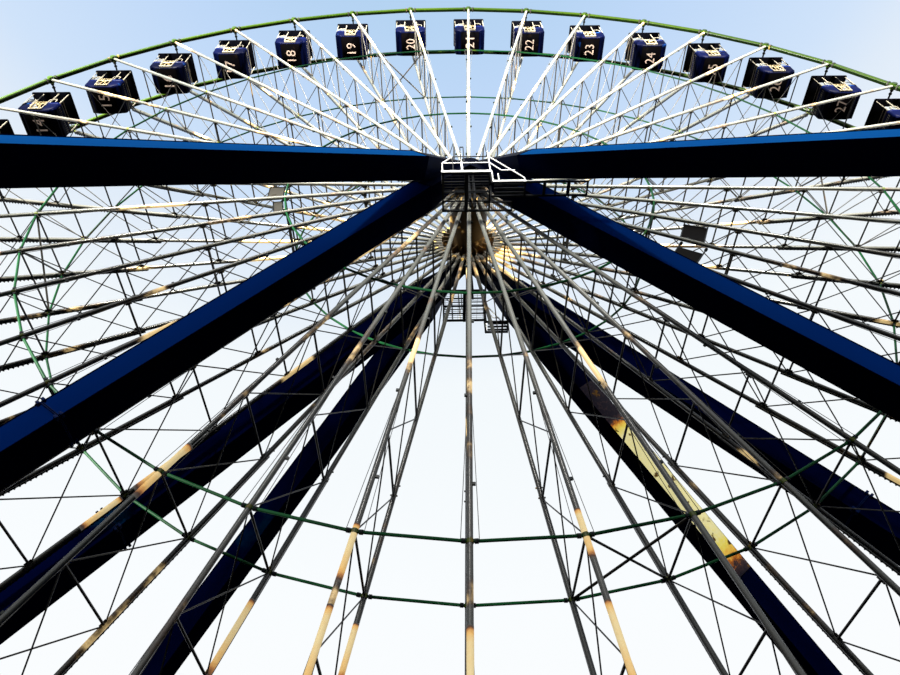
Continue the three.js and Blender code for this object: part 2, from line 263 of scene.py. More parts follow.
def wear_and_light_patches_group():
    """Masks of patches with brighter cores, slow drift of tone and fine grain, all in Object coordinates.
    Patches are wear on most paints and painted light on the spokes, struts, joints, hub and sunlit skins.
    """
    tree = bpy.data.node_groups.new("Wear And Light Patches", "ShaderNodeTree")
    for in_out, labels in (("INPUT", ("Patch Size", "Patch Share", "Grain Size")),
                           ("OUTPUT", ("Patches", "Cores", "Drift", "Grain"))):
        for label in labels:
            tree.interface.new_socket(label, in_out=in_out, socket_type="NodeSocketFloat")
    start = node(tree, "NodeGroupInput").outputs
    end = node(tree, "NodeGroupOutput").inputs
    place = node(tree, "ShaderNodeTexCoord").outputs["Object"]
    patch_scale = math_node(tree, "DIVIDE", 1.0, start["Patch Size"])
    grain_scale = math_node(tree, "DIVIDE", 1.0, start["Grain Size"])
    drift_scale = math_node(tree, "MULTIPLY", patch_scale, 0.31)
    patch_low = math_node(tree, "MULTIPLY_ADD", start["Patch Share"], -0.42, 0.72)
    patch_high = math_node(tree, "ADD", patch_low, 0.07)
    core_low = math_node(tree, "ADD", patch_low, 0.035)
    core_high = math_node(tree, "ADD", patch_low, 0.10)
    patches = noise(tree, place, patch_scale, 6.0)
    put(end["Patches"], smooth_step(tree, patches, patch_low, patch_high))
    put(end["Cores"], smooth_step(tree, patches, core_low, core_high))
    put(end["Drift"], smooth_step(tree, noise(tree, place, drift_scale, 3.0), 0.3, 0.7))
    put(end["Grain"], noise(tree, place, grain_scale, 4.0))
    return tree


WEAR_AND_LIGHT_PATCHES = wear_and_light_patches_group()


def new_material(name, patch_size, patch_share, grain_size):
    """A material, its tree, the inputs of its shader and its masks of wear and painted light."""
    made = bpy.data.materials.new(name)
    made.use_nodes = True
    tree = made.node_tree
    wear_and_light_masks = tree.nodes.new("ShaderNodeGroup")
    wear_and_light_masks.node_tree = WEAR_AND_LIGHT_PATCHES
    for socket, value in zip(wear_and_light_masks.inputs, (patch_size, patch_share, grain_size)):
        put(socket, value)
    return made, tree, tree.nodes["Principled BSDF"].inputs, wear_and_light_masks.outputs


def finish(name, color, drift_color, wear_and_sun_color, *, sunlit_core_color=None, roughness=0.45, metallic=0.0, shine=0.3,
           patch_size=0.4, patch_share=0.2, grain_size=0.012, bump=0.15, painted_glow=0.0, sunlit_core_glow=0.0):
    """Painted or bare metal: two drifting tones, patches with brighter cores, and fine grain. Patches are
    wear; bright cores, which may glow, are painted sunlight, and a glow over the whole paint is painted
    light.
    """
    made, tree, shader, wear_and_light_masks = new_material(name, patch_size, patch_share, grain_size)
    put(shader["Metallic"], metallic)
    put(shader["Specular IOR Level"], shine)
    tone = mix_color(tree, wear_and_light_masks["Drift"], color, drift_color)
    wear_and_sun = mix_color(tree, wear_and_light_masks["Cores"], wear_and_sun_color, sunlit_core_color or wear_and_sun_color)
    painted = mix_color(tree, wear_and_light_masks["Patches"], tone, wear_and_sun)
    put(shader["Base Color"], painted)
    if painted_glow or sunlit_core_glow:
        put(shader["Emission Color"], painted)
        put(shader["Emission Strength"], painted_glow)
    if sunlit_core_glow:
        sunlit_cores = math_node(tree, "MULTIPLY", wear_and_light_masks["Patches"], wear_and_light_masks["Cores"])
        put(shader["Emission Strength"], math_node(tree, "MULTIPLY", sunlit_cores, sunlit_core_glow))
    rough = math_node(tree, "MULTIPLY_ADD", wear_and_light_masks["Grain"], 0.16, roughness - 0.08)
    put(shader["Roughness"], math_node(tree, "MULTIPLY_ADD", wear_and_light_masks["Patches"], 0.15, rough))
    relief = node(tree, "ShaderNodeBump", Strength=bump, Distance=mm(4), Height=wear_and_light_masks["Grain"])
    put(shader["Normal"], relief.outputs["Normal"])
    return made


# Spoke paints: the brown patches with gold, glowing cores are painted patches of low sunlight, not wear.
FRONT_SPOKE = finish("spoke_cream", (0.20, 0.195, 0.17), (0.11, 0.12, 0.11), (0.10, 0.05, 0.03),
                     sunlit_core_color=(1.0, 0.72, 0.34), roughness=0.26, shine=0.55, patch_size=1.4,
                     patch_share=0.41, sunlit_core_glow=0.72)
BACK_SPOKE = finish("spoke_grey", (0.12, 0.12, 0.105), (0.05, 0.055, 0.05), (0.10, 0.05, 0.02),
                    sunlit_core_color=(1.0, 0.72, 0.32), roughness=0.26, shine=0.55, patch_size=1.4,
                    patch_share=0.42, sunlit_core_glow=0.55)
RIM_GREEN = finish("rim_green", (0.10, 0.20, 0.010), (0.055, 0.13, 0.010), (0.035, 0.07, 0.008),
                   roughness=0.3, shine=0.4, patch_size=0.6, patch_share=0.15)
# Darker green on the rims' inner sides: painted shade.
RIM_PAINTED_SHADE = finish("rim_painted_shade", (0.010, 0.030, 0.003), (0.005, 0.014, 0.002), (0.014, 0.026, 0.004),
                   roughness=0.6, shine=0.05, patch_size=0.6, patch_share=0.15)
RING_GREEN = finish("ring_green", (0.008, 0.10, 0.028), (0.004, 0.045, 0.016), (0.07, 0.13, 0.012),
                    roughness=0.5, shine=0.12, patch_size=0.8, patch_share=0.2)
# The gold cores in the patches of the strut and joint paints below are painted sunlight.
STRUT_STEEL = finish("strut_steel", (0.12, 0.11, 0.09), (0.04, 0.038, 0.034), (0.09, 0.045, 0.02),
                     sunlit_core_color=(0.50, 0.32, 0.10), shine=0.15, roughness=0.4, patch_size=0.6,
                     patch_share=0.26)
ROD_STEEL = finish("rod_steel", (0.11, 0.105, 0.095), (0.04, 0.038, 0.035), (0.10, 0.06, 0.03),
                   roughness=0.4, shine=0.15, patch_size=0.5, patch_share=0.18)
JOINT_STEEL = finish("joint_steel", (0.11, 0.105, 0.085), (0.035, 0.035, 0.032), (0.16, 0.08, 0.025),
                     sunlit_core_color=(0.70, 0.48, 0.12), roughness=0.45, patch_size=0.1, patch_share=0.40)
JOINT_LIME = finish("joint_lime", (0.14, 0.17, 0.02), (0.07, 0.10, 0.015), (0.26, 0.18, 0.04),
                    roughness=0.4, patch_size=0.1, patch_share=0.3)
LAMP_BLACK = finish("lamp_black", (0.006, 0.010, 0.010), (0.010, 0.018, 0.016), (0.03, 0.04, 0.035),
                    roughness=0.4, patch_size=0.1, patch_share=0.2, grain_size=0.006)
# Three copies of the legs' one blue paint: a lit one with painted light, and darker ones with painted shade.
LEG_BLUE_LIT = finish("leg_blue_painted_light", (0.014, 0.25, 0.86), (0.012, 0.19, 0.70), (0.006, 0.09, 0.42),
                  roughness=0.5, shine=0.0, patch_size=1.4, patch_share=0.14, bump=0.06)
LEG_BLUE_SHADED = finish("leg_blue_painted_shade", (0.0026, 0.058, 0.32), (0.0016, 0.030, 0.22), (0.001, 0.014, 0.12),
                  roughness=0.5, shine=0.0, patch_size=1.8, patch_share=0.16, bump=0.06)
LEG_BLUE_DEEP_SHADE = finish("leg_blue_painted_deep_shade", (0.0012, 0.006, 0.072), (0.001, 0.002, 0.028), (0.0012, 0.040, 0.13),
                  roughness=0.5, shine=0.0, patch_size=1.8, patch_share=0.22, bump=0.06)
# Covers of the legs, darker: painted shade.
LEG_COVER_SHADE = finish("leg_cover_painted_shade", (0.001, 0.005, 0.040), (0.001, 0.003, 0.020), (0.001, 0.010, 0.07),
                   roughness=0.5, shine=0.0, patch_size=1.8, patch_share=0.16, bump=0.06)
LEG_EDGE = finish("leg_edge", (0.001, 0.020, 0.13), (0.001, 0.012, 0.08), (0.03, 0.03, 0.05),
                  roughness=0.5, shine=0.05, patch_size=0.5, patch_share=0.2)
# Bearing heads and covers in near-black blue: painted shade.
HEAD_SHADE = finish("head_painted_shade", (0.001, 0.006, 0.040), (0.001, 0.003, 0.016), (0.004, 0.02, 0.12),
                   roughness=0.5, shine=0.02, patch_size=0.5, patch_share=0.14, bump=0.06)
# Hub: the brown patches with gold, glowing cores are painted sunlight.
HUB_BROWN = finish("hub_brown", (0.035, 0.030, 0.025), (0.10, 0.06, 0.022), (0.30, 0.14, 0.03),
                   sunlit_core_color=(1.0, 0.66, 0.22), roughness=0.5, patch_size=0.45, patch_share=0.36,
                   sunlit_core_glow=0.40)
IRON = finish("platform_iron", (0.018, 0.020, 0.022), (0.010, 0.010, 0.013), (0.07, 0.07, 0.065),
              roughness=0.55, metallic=0.2, patch_size=0.15, patch_share=0.2)
PLANK_GREY = finish("plank_grey", (0.09, 0.095, 0.10), (0.05, 0.05, 0.055), (0.20, 0.20, 0.19),
                    roughness=0.5, patch_size=0.12, patch_share=0.3)
RAIL_WHITE = finish("rail_white", (0.86, 0.86, 0.83), (0.70, 0.71, 0.70), (0.38, 0.34, 0.28),
                    roughness=0.4, patch_size=0.1, patch_share=0.08)
CABIN_NAVY = finish("cabin_navy", (0.0008, 0.002, 0.018), (0.0005, 0.001, 0.007), (0.002, 0.014, 0.070),
                    roughness=0.4, shine=0.02, patch_size=0.3, patch_share=0.2, bump=0.05)
# The tub's rim in a lighter navy: painted light on its top edge.
CABIN_RIM_LIT = finish("cabin_rim_painted_light", (0.0008, 0.005, 0.048), (0.0008, 0.002, 0.024), (0.002, 0.028, 0.12),
                   roughness=0.35, shine=0.03, patch_size=0.2, patch_share=0.3, bump=0.05)
CABIN_SOLE = finish("cabin_sole", (0.0014, 0.0009, 0.0012), (0.0010, 0.0010, 0.0016), (0.005, 0.003, 0.002),
                    roughness=0.6, shine=0.02, patch_size=0.16, patch_share=0.25)
ROOF_BLACK = finish("roof_black", (0.0014, 0.0018, 0.0040), (0.001, 0.001, 0.002), (0.004, 0.005, 0.009),
                    roughness=0.5, shine=0.04, patch_size=0.25, patch_share=0.2)
CABIN_PALE = finish("cabin_pale", (0.22, 0.20, 0.16), (0.15, 0.14, 0.11), (0.10, 0.06, 0.03),
                    roughness=0.4, patch_size=0.06, patch_share=0.14)
CABIN_GOLD = finish("cabin_gold", (0.20, 0.15, 0.07), (0.32, 0.26, 0.15), (0.08, 0.05, 0.015),
                    roughness=0.35, patch_size=0.05, patch_share=0.24)
CABIN_PANE = finish("cabin_pane", (0.10, 0.11, 0.12), (0.07, 0.08, 0.085), (0.05, 0.045, 0.04),
                    roughness=0.3, patch_size=0.1, patch_share=0.2)
SEAT_BROWN = finish("seat_brown", (0.10, 0.045, 0.03), (0.06, 0.03, 0.022), (0.22, 0.12, 0.07),
                    roughness=0.6, patch_size=0.05, patch_share=0.25)
# Numerals glow a little: painted light on the cabins' shaded undersides.
NUMBER_CREAM_LIT = finish("number_cream_painted_light", (0.64, 0.50, 0.41), (0.54, 0.41, 0.34), (0.16, 0.11, 0.08),
                      roughness=0.6, patch_size=0.04, patch_share=0.25, painted_glow=0.24)
PANEL_BROWN = finish("panel_brown", (0.020, 0.016, 0.013), (0.013, 0.011, 0.010), (0.04, 0.03, 0.018),
                     roughness=0.6, shine=0.05, patch_size=0.2, patch_share=0.25)
PANEL_TAN = finish("panel_tan", (0.60, 0.52, 0.38), (0.50, 0.44, 0.34), (0.30, 0.22, 0.12),
                   roughness=0.5, patch_size=0.15, patch_share=0.2)


def sunlit_finish(name, stops, streak_color, *, patch_size, patch_share, wobble, painted_glow):
    """Painted patch of sunlight: a glowing tone that follows its own attribute, with broken edges and with
    streaks across it.
    """
    made, tree, shader, wear_and_light_masks = new_material(name, patch_size, patch_share, 0.05)
    put(shader["Specular IOR Level"], 0.1)
    put(shader["Emission Strength"], painted_glow)
    amount = node(tree, "ShaderNodeAttribute")
    amount.attribute_name = "Sunlit"
    shift = math_node(tree, "MULTIPLY_ADD", wear_and_light_masks["Grain"], wobble, -wobble / 2)
    level = math_node(tree, "ADD", amount.outputs["Fac"], shift)
    streaked = mix_color(tree, wear_and_light_masks["Cores"], color_ramp(tree, level, stops), streak_color)
    put(shader["Base Color"], streaked)
    put(shader["Emission Color"], streaked)
    put(shader["Roughness"], math_node(tree, "MULTIPLY_ADD", wear_and_light_masks["Grain"], 0.2, 0.4))
    return made


# Painted sunlight glinting on one leg, glowing yellow, with dark streaks that are painted shadows of rods.
LEG_SUNLIT = sunlit_finish(
    "leg_sunlit_patch", [(0.0, (0.012, 0.010, 0.016)), (0.22, (0.05, 0.030, 0.030)), (0.36, (0.55, 0.16, 0.02)),
                 (0.52, (0.95, 0.55, 0.08)), (0.72, (1.0, 0.84, 0.14)), (1.0, (1.0, 0.92, 0.46))],
    (0.10, 0.05, 0.01), patch_size=0.22, patch_share=0.40, wobble=0.5, painted_glow=0.62)
# Painted sunlight along single spokes: grey, brown, orange and pale gold, glowing.
SPOKE_SUNLIT = sunlit_finish(
    "spoke_sunlit_patch", [(0.0, (0.12, 0.12, 0.11)), (0.22, (0.10, 0.055, 0.04)), (0.42, (0.62, 0.27, 0.09)),
                   (0.66, (1.0, 0.60, 0.20)), (1.0, (1.0, 0.80, 0.42))],
    (0.55, 0.26, 0.08), patch_size=0.5, patch_share=0.30, wobble=0.35, painted_glow=0.55)


# Node trees that make repeated shapes


COPY_INPUTS = (("Copies", "Int"), ("First Angle", "Float"), ("Step Angle", "Float"), ("Centre", "Vector"))


def geometry_tree(name, inputs):
    """A tree with the inputs of its first node and the input of its last one."""
    tree = bpy.data.node_groups.new(name, "GeometryNodeTree")
    tree.interface.new_socket("Geometry", in_out="INPUT", socket_type="NodeSocketGeometry")
    for label, kind in inputs:
        tree.interface.new_socket(label, in_out="INPUT", socket_type=f"NodeSocket{kind}")
    tree.interface.new_socket("Geometry", in_out="OUTPUT", socket_type="NodeSocketGeometry")
    return tree, node(tree, "NodeGroupInput").outputs, node(tree, "NodeGroupOutput").inputs["Geometry"]


def shape_tree(name, *inputs):
    return geometry_tree(name, (*inputs, *COPY_INPUTS, ("Material", "Material")))


def copies_tree():
    """Copies of a shape turned about the Y axis through Centre."""
    tree, start, end = geometry_tree("Copies About Axle", COPY_INPUTS)
    points = node(tree, "GeometryNodePoints", Count=start["Copies"], Position=start["Centre"])
    number = node(tree, "GeometryNodeInputIndex").outputs["Index"]
    angle = math_node(tree, "MULTIPLY_ADD", number, start["Step Angle"], start["First Angle"])
    euler = node(tree, "ShaderNodeCombineXYZ", Y=angle)
    turn = node(tree, "FunctionNodeEulerToRotation", Euler=euler.outputs[0])
    spread = node(tree, "GeometryNodeInstanceOnPoints", Points=points.outputs[0], Instance=start["Geometry"],
                  Rotation=turn.outputs[0])
    put(end, spread.outputs[0])
    return tree


COPIES = copies_tree()


def close_tree(tree, start, end, geometry):
    """Every tree ends alike: copies about the axle, realised, with their material."""
    copies = node(tree, "GeometryNodeGroup")
    copies.node_tree = COPIES
    put(copies.inputs["Geometry"], geometry)
    for label, _ in COPY_INPUTS:
        put(copies.inputs[label], start[label])
    real = node(tree, "GeometryNodeRealizeInstances", Geometry=copies.outputs[0])
    dressed = node(tree, "GeometryNodeSetMaterial", Geometry=real.outputs[0], Material=start["Material"])
    put(end, dressed.outputs[0])
    return tree


def tube_tree():
    """Round tubes along the edges of the source mesh."""
    tree, start, end = shape_tree("Tubes", ("Tube Radius", "Float"), ("Tube Sides", "Int"))
    line = node(tree, "GeometryNodeMeshToCurve", Mesh=start["Geometry"])
    section = node(tree, "GeometryNodeCurvePrimitiveCircle", Resolution=start["Tube Sides"],
                   Radius=start["Tube Radius"])
    swept = node(tree, "GeometryNodeCurveToMesh", Curve=line.outputs[0], Profile_Curve=section.outputs[0],
                 Fill_Caps=True)
    return close_tree(tree, start, end, swept.outputs[0])


def solid_tree():
    """The source mesh itself, copied about the axle."""
    tree, start, end = shape_tree("Solids")
    return close_tree(tree, start, end, start["Geometry"])


def lamp_row_tree():
    """Small lamp caps in a row along the edges of the source mesh, standing out to one side."""
    tree, start, end = shape_tree("Lamp Row", ("Spacing", "Float"), ("Cap Radius", "Float"),
                                  ("Cap Height", "Float"), ("Cap Sides", "Int"), ("Stand Out", "Vector"))
    line = node(tree, "GeometryNodeMeshToCurve", Mesh=start["Geometry"])
    row = node(tree, "GeometryNodeCurveToPoints", "LENGTH", Curve=line.outputs[0], Length=start["Spacing"])
    cap = node(tree, "GeometryNodeMeshCone", Radius_Top=mm(9), Vertices=start["Cap Sides"],
               Radius_Bottom=start["Cap Radius"], Depth=start["Cap Height"])
    aim = node(tree, "FunctionNodeAlignRotationToVector", Vector=start["Stand Out"])
    aim.axis = "Z"
    spread = node(tree, "GeometryNodeInstanceOnPoints", Points=row.outputs["Points"],
                  Instance=cap.outputs["Mesh"], Rotation=aim.outputs[0])
    return close_tree(tree, start, end, spread.outputs[0])


def bar_row_tree():
    """A row of equal bars, such as the slats of a floor or the rungs of a ladder."""
    tree, start, end = shape_tree("Bar Row", ("Bar Size", "Vector"), ("Row Start", "Vector"),
                                  ("Row Step", "Vector"), ("Bars", "Int"))
    row = node(tree, "GeometryNodeMeshLine", "OFFSET", Count=start["Bars"],
               Start_Location=start["Row Start"], Offset=start["Row Step"])
    piece_of_row = node(tree, "GeometryNodeMeshCube", Size=start["Bar Size"])
    spread = node(tree, "GeometryNodeInstanceOnPoints", Points=row.outputs["Mesh"],
                  Instance=piece_of_row.outputs["Mesh"])
    return close_tree(tree, start, end, spread.outputs[0])


def bolt_circle_tree():
    """Bolt heads on a circle about the Y axis, facing along Y."""
    tree, start, end = shape_tree("Bolt Circle", ("Bolts", "Int"), ("Circle Radius", "Float"),
                                  ("Bolt Radius", "Float"), ("Bolt Height", "Float"))
    circle = node(tree, "GeometryNodeMeshCircle", Vertices=start["Bolts"], Radius=start["Circle Radius"])
    bolt = node(tree, "GeometryNodeMeshCylinder", Vertices=6, Radius=start["Bolt Radius"],
                Depth=start["Bolt Height"])
    spread = node(tree, "GeometryNodeInstanceOnPoints", Points=circle.outputs["Mesh"],
                  Instance=bolt.outputs["Mesh"])
    upright = node(tree, "GeometryNodeTransform", Geometry=spread.outputs[0],
                   Rotation=(math.pi / 2, 0.0, 0.0))
    return close_tree(tree, start, end, upright.outputs[0])


TUBES = tube_tree()
SOLIDS = solid_tree()
LAMP_ROW = lamp_row_tree()
BAR_ROW = bar_row_tree()
BOLT_CIRCLE = bolt_circle_tree()

ONCE = {"Copies": 1, "First Angle": 0.0, "Step Angle": 0.0, "Centre": (0.0, 0.0, 0.0)}
ALL_ROUND = {"Copies": SPOKES, "First Angle": REST_ANGLE, "Step Angle": STEP_ANGLE, "Centre": tuple(hub)}


def new_object(name, data):
    made = bpy.data.objects.new(name, data)
    bpy.context.scene.collection.objects.link(made)
    return made


def evaluated_mesh(carrier, **options):
    """The mesh that an object's modifiers or curve make. The object goes."""
    graph = bpy.context.evaluated_depsgraph_get()
    mesh = bpy.data.meshes.new_from_object(carrier.evaluated_get(graph), depsgraph=graph, **options)
    bpy.data.objects.remove(carrier)
    return mesh


def grown(tree, source, material, around=ONCE, **sizes):
    """The plain mesh that a tree makes of a source mesh. Input names are written with underscores here."""
    carrier = new_object("carrier", source)
    modifier = carrier.modifiers.new("grow", "NODES")
    modifier.node_group = tree
    sizes = {label.replace("_", " "): value for label, value in sizes.items()}
    values = {**around, **sizes, "Material": material}
    for item in tree.interface.items_tree:
        if item.in_out == "INPUT" and item.name in values:
            modifier[item.identifier] = values[item.name]
    return evaluated_mesh(carrier, preserve_all_data_layers=True)


def paths(runs):
    """Mesh of open paths, each a list of two or more points."""
    mesh = bpy.data.meshes.new("paths")
    points = [tuple(point) for run in runs for point in run]
    edges = []
    first = 0
    for run in runs:
        edges += [(first + i, first + i + 1) for i in range(len(run) - 1)]
        first += len(run)
    mesh.from_pydata(points, edges, [])
    return mesh


def tubes(runs, radius, material, sides=8, around=ONCE):
    return grown(TUBES, paths(runs), material, around, Tube_Radius=mm(radius), Tube_Sides=sides)


def all_round(name, corners, material, around=ALL_ROUND):
    """Boxes on the upright spoke, copied round the hub."""
    return grown(SOLIDS, boxes(name, corners, material), material, around)


def bar_row(size, start, step, count, material):
    return grown(BAR_ROW, bpy.data.meshes.new("empty"), material, Bar_Size=tuple(map(mm, size)),
                 Row_Start=tuple(start), Row_Step=tuple(step), Bars=count)


def bar(size, middle, material):
    return bar_row(size, middle, (0, 0, 0), 1, material)


def bolt_circle(bolts, circle_radius, bolt_radius, bolt_height, y):
    """A ring of bolt heads about the axle."""
    ring = grown(BOLT_CIRCLE, bpy.data.meshes.new("empty"), JOINT_STEEL, Bolts=bolts,
                 Circle_Radius=mm(circle_radius), Bolt_Radius=mm(bolt_radius), Bolt_Height=mm(bolt_height))
    return moved(ring, Matrix.Translation(at(0, y, 0)))


# Solid shapes


def mesh_of(name, shape, material):
    bmesh.ops.recalc_face_normals(shape, faces=shape.faces)
    mesh = bpy.data.meshes.new(name)
    shape.to_mesh(mesh)
    shape.free()
    mesh.materials.append(material)
    return mesh


def add_box(shape, low, high):
    corners = bmesh.ops.create_cube(shape, size=1.0)["verts"]
    size, middle = high - low, (high + low) / 2
    for corner in corners:
        corner.co = Vector((corner.co.x * size.x, corner.co.y * size.y, corner.co.z * size.z)) + middle


def boxes(name, corners, material, edge=0.0):
    """Boxes from pairs of corners, with a small bevel."""
    shape = bmesh.new()
    for low, high in corners:
        add_box(shape, Vector(map(min, low, high)), Vector(map(max, low, high)))
    if edge:
        bmesh.ops.bevel(shape, geom=list(shape.edges), offset=mm(edge), segments=2, affect="EDGES",
                        profile=0.6)
    return mesh_of(name, shape, material)


def turned(name, profile, material, segments=48):
    """Closed shape turned about the Y axis from (radius, y) points that start and end on the axis."""
    shape = bmesh.new()
    rings = []
    for radius, y in profile:
        if radius == 0:
            rings.append([shape.verts.new((0, mm(y), 0))])
            continue
        ring = []
        for k in range(segments):
            angle = math.tau * k / segments
            ring.append(shape.verts.new((mm(radius) * math.sin(angle), mm(y), mm(radius) * math.cos(angle))))
        rings.append(ring)
    for first, second in zip(rings, rings[1:]):
        for k in range(segments):
            n = (k + 1) % segments
            if len(first) == 1:
                shape.faces.new((first[0], second[k], second[n]))
            elif len(second) == 1:
                shape.faces.new((first[k], second[0], first[n]))
            else:
                shape.faces.new((first[k], second[k], second[n], first[n]))
    return mesh_of(name, shape, material)


def rounded_plan(half_x, half_y, radius, steps=4):
    """Corner-rounded rectangle in plan, anticlockwise."""
    points = []
    for sx, sy, start in ((1, 1, 0), (-1, 1, 90), (-1, -1, 180), (1, -1, 270)):
        middle_x, middle_y = sx * (half_x - radius), sy * (half_y - radius)
        for i in range(steps + 1):
            angle = math.radians(start + 90 * i / steps)
            points.append((middle_x + radius * math.cos(angle), middle_y + radius * math.sin(angle)))
    return points


def lofted(name, levels, material):
    """Closed shape through level outlines, each (z, half_x, half_y, corner_radius)."""
    shape = bmesh.new()
    rings = [
        [shape.verts.new(at(x, y, z)) for x, y in rounded_plan(half_x, half_y, radius)]
        for z, half_x, half_y, radius in levels
    ]
    for first, second in zip(rings, rings[1:]):
        for k in range(len(first)):
            n = (k + 1) % len(first)
            shape.faces.new((first[k], first[n], second[n], second[k]))
    shape.faces.new(rings[0])
    shape.faces.new(rings[-1])
    return mesh_of(name, shape, material)


def cut_away(mesh, *cutters):
    """The mesh less the cutters."""
    carrier = new_object("carrier", mesh)
    tools = []
    for cutter in cutters:
        tool = new_object("tool", cutter)
        modifier = carrier.modifiers.new("cut", "BOOLEAN")
        modifier.object = tool
        modifier.operation = "DIFFERENCE"
        modifier.solver = "EXACT"
        tools.append(tool)
    made = evaluated_mesh(carrier)
    for tool in tools:
        bpy.data.objects.remove(tool)
    return made


def merged(name, meshes):
    """One mesh of several, each keeping its materials."""
    materials = []
    shape = bmesh.new()
    for mesh in meshes:
        before = len(shape.faces)
        shape.from_mesh(mesh)
        shape.faces.ensure_lookup_table()
        slots = []
        for material in mesh.materials:
            if material not in materials:
                materials.append(material)
            slots.append(materials.index(material))
        for face in shape.faces[before:]:
            face.material_index = slots[min(face.material_index, len(slots) - 1)]
    made = bpy.data.meshes.new(name)
    shape.to_mesh(made)
    shape.free()
    for material in materials:
        made.materials.append(material)
    return made


def moved(mesh, matrix):
    mesh.transform(matrix)
    return mesh


def bisected(mesh, height):
    """The mesh without what lies under a height, closed again."""
    shape = bmesh.new()
    shape.from_mesh(mesh)
    everything = [*shape.verts, *shape.edges, *shape.faces]
    bmesh.ops.bisect_plane(shape, geom=everything, plane_co=Vector((0, 0, height)),
                           plane_no=Vector((0, 0, -1)), clear_outer=True)
    bmesh.ops.holes_fill(shape, edges=[edge for edge in shape.edges if edge.is_boundary])
    shape.to_mesh(mesh)
    shape.free()
    return mesh


def shaded_inside(mesh, material):
    """Painted shade: the faces that look towards the hub and not to the front take a darker paint that
    stands for the rim's shaded side.
    """
    mesh.materials.append(material)
    for face in mesh.polygons:
        inward = Vector((hub.x - face.center.x, 0.0, hub.z - face.center.z)).normalized()
        if face.normal.dot(inward) > 0.12 and face.normal.y > -0.45:
            face.material_index = len(mesh.materials) - 1
    return mesh


# Spots light only the pieces of their own collection
FRONT_LIT = bpy.data.collections.new("front_lit")
LEFT_LIT = bpy.data.collections.new("left_lit")

# Spots: name, place and target in metres, watts, colour, cone in degrees, blend, size, pieces in their light
SPOTS = (
    ("high_key_left", (-13.0, -26.0, 19.0), (-5.5, 0.0, 21.4),
     3.0e5, (1.0, 0.95, 0.85), 46, 0.45, 1.5, FRONT_LIT),
    ("high_key_right", (13.0, -26.0, 19.0), (5.5, 0.0, 21.4),
     3.0e5, (1.0, 0.95, 0.85), 46, 0.45, 1.5, FRONT_LIT),
    ("left_key", (-26.0, -16.0, 11.0), (-9.5, 0.0, 16.5),
     1.7e5, (1.0, 0.97, 0.88), 60, 0.8, 1.5, LEFT_LIT),
    ("hub_fill", (0.0, -14.0, 13.6), (0.0, 0.0, 10.2),
     1.8e4, (1.0, 0.97, 0.92), 24, 0.9, 0.8, FRONT_LIT),
)


def piece(name, mesh, body, replaces=(), spots=FRONT_LIT):
    """A finished piece at the origin: smooth faces with sharp edges, riding on its body."""
    mesh.shade_smooth()
    mesh.set_sharp_from_angle(angle=math.radians(38))
    made = new_object(name, mesh)
    if spots:
        spots.objects.link(made)
    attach(made, body)
    if replaces:
        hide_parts(*replaces)
    return made


# Wheel: each shape is made for the spoke that stands upright, then copied round the hub


def spoke_point(radius, y, step=0.0):
    return at(radius * math.sin(step), y, radius * math.cos(step))


def build_face(side, name, chord_material):
    """Spoke tubes, rim, thin rings and rim joints of one face."""
    y = side * FACE_Y
    chord = [(spoke_point(CHORD_START, y), spoke_point(NODE_RADIUS - 60, y))]
    piece(f"spokes_{name}", tubes(chord, CHORD_RADIUS, chord_material, 12, ALL_ROUND), "wheel",
          [f"wheel_face_{name}"])
    rim = [(spoke_point(NODE_RADIUS, y), spoke_point(NODE_RADIUS, y, STEP_ANGLE))]
    # The rim's inner side takes painted shade.
    rim_tube = shaded_inside(tubes(rim, RIM_RADIUS, RIM_GREEN, 16, ALL_ROUND), RIM_PAINTED_SHADE)
    piece(f"rim_{name}", rim_tube, "wheel", spots=LEFT_LIT)
    rings = [(spoke_point(r, y), spoke_point(r, y, STEP_ANGLE)) for r in RING_RADII]
    ring_tubes = tubes(rings, RING_TUBE, RING_GREEN, 8, ALL_ROUND)
    piece(f"rings_{name}", ring_tubes, "wheel", spots=LEFT_LIT)
    barrels = [(spoke_point(NODE_RADIUS, y - 150), spoke_point(NODE_RADIUS, y + 150))]
    collars = []
    for turn in (0.0, STEP_ANGLE):
        end = spoke_point(NODE_RADIUS, y, turn)
        along = (spoke_point(NODE_RADIUS, y, STEP_ANGLE - turn) - end).normalized()
        collars.append((end + along * mm(230), end + along * mm(300)))
    joints = merged("joints", [
        tubes(barrels, RIM_RADIUS + 10, RIM_GREEN, 12, ALL_ROUND),
        tubes(collars, RIM_RADIUS + 22, JOINT_STEEL, 12, ALL_ROUND),
    ])
    piece(f"rim_joints_{name}", joints, "wheel", spots=LEFT_LIT)


